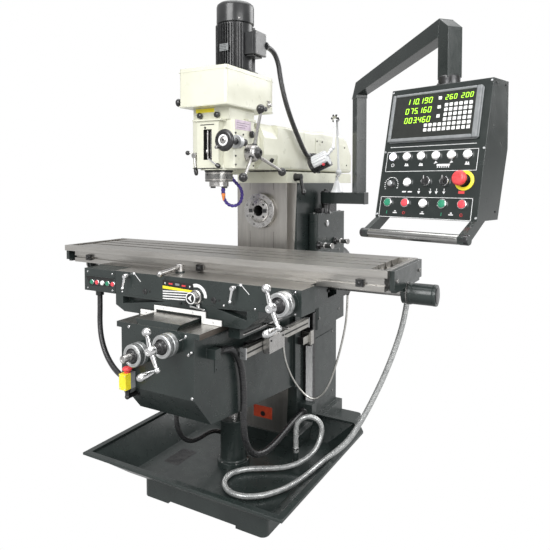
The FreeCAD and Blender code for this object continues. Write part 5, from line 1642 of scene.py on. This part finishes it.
# ---------------------------------------------------------------- table
part = Shape().use(STEEL)
for side in (-1, 1):
    for y in (-386, -146):
        part.screw((side * 700, y, 898), (side, 0, 0), 6.4, 4.6)
    part.lathe((side * 700, LEAD_SCREW_Y, LEAD_SCREW_Z), (side, 0, 0), [(0, 35), (6, 35), (8, 33.6)], 56)
part.done("table_end_screws", "table", "steel", bevel=0)
part = Shape().use(CASTING)
part.lathe((790, LEAD_SCREW_Y, LEAD_SCREW_Z), LEFT, [(0.4, 30), (3, 33.6), (10, 33.6), (12, 32.8)], 56)
part.lathe((709, LEAD_SCREW_Y, LEAD_SCREW_Z), RIGHT, [(-8, 35), (0, 35), (6, 33.5)], 56)
part.use(BLACK)
part.lathe((789.6, LEAD_SCREW_Y, LEAD_SCREW_Z), RIGHT, [(0, 26), (2, 26), (3, 23), (3, 0)], 48)
part.use(CASTING)
part.lathe((-708.1, LEAD_SCREW_Y, LEAD_SCREW_Z), LEFT, [(-6, 30), (-1, 29), (0.6, 26), (0.8, 0)], 48)
part.done("table_end_caps", "table", "casting_grey", bevel=0.5)
part = Shape().use(DARK_STEEL)
for x in (-575, -15, 590):
    part.bolt((x, -405.5, 885), FRONT, 5, 3.5)
    part.box(x - 10.8, x + 10.8, -406, -404.5, 875, 895)
part.done("table_stop_dogs", "table", "steel", bevel=0.4)
part = Shape().use(BLACK)
part.lathe((648, -84, 873), DOWN, [(-2, 12), (4, 12), (5, 10.8), (16, 10.8)], 24)
part.use(CHROME)
part.lathe_loop((648, -84, 862), DOWN, [(0, 10), (0, 11.6), (9, 11.6), (9, 10)], 36)
part.done("table_drain_clamp", "table", "steel", bevel=0.3)


# ---------------------------------------------------------------- glands, ram lock and coolant line
part = Shape().use(BLACK)
part.lathe((104, -147, 1704), BACK, [(0, 17), (7, 17), (8, 15), (18, 13.4), (22, 11)], 8)
part.done("head_cable_gland", "head", "black_plastic", bevel=0.4)
part = Shape().use(BLACK)
part.lathe((136, 187, 1300), FRONT, [(0, 15), (8, 15), (9, 14), (20, 12.6), (22, 11)], 8)
part.done("ram_cable_gland", "ram", "black_plastic", bevel=0.4)
part = Shape().use(DARK_STEEL)
part.lathe((120.4, 70, 1210), RIGHT, [(0, 17), (5, 17), (6, 15), (30, 14), (32, 11), (32, 0)], 36)
start = Vector((146, 70, 1206))
run = Vector((172, 46, 1148)) - start
part.lathe(start, run, [(0, 8), (run.length - 10, 5.4)], 28)
part.use(BLACK)
part.lathe(Vector((172, 46, 1150)) - run.normalized() * 14, run,
           [(0, 5.4), (3, 8), (18, 10), (24, 8), (26, 0)], 28)
part.done("ram_lock_detail", "ram_lock_lever", "black_plastic", ["ram_lock_lever"], bevel=0.4)

line, coolant_length = even(centreline(HOSES["coolant_hose"]), 0.0008)


def bead(distance, turn):
    """Ball-and-socket links, each a barrel that narrows at its neck."""
    wave = (distance / 0.0135) % 1.0
    return 0.0053 + 0.0017 * math.sin(math.pi * min(1.0, wave * 1.15)) ** 0.6 if wave < 0.87 else 0.0052


coolant = tube("coolant_hose_run", line, bead, PURPLE, 20)
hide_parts("coolant_hose")
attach(coolant, "ram")
part = Shape().use(NOZZLE)
part.lathe((-56, -192.9, 1146), (0, -0.03, -1), [(0, 6.8), (2, 7.6), (9, 7.4), (12, 5.2), (28, 2.8)], 24)
nozzle = part.done("coolant_nozzle", "ram", "coolant_purple", bevel=0.2)
part = Shape().use(BLACK)
part.lathe((-78, -112, 1240), DOWN, [(0, 12), (5, 12), (6, 10), (18, 8)], 6)
part.done("coolant_elbow", "ram", "black_plastic", bevel=0.3)
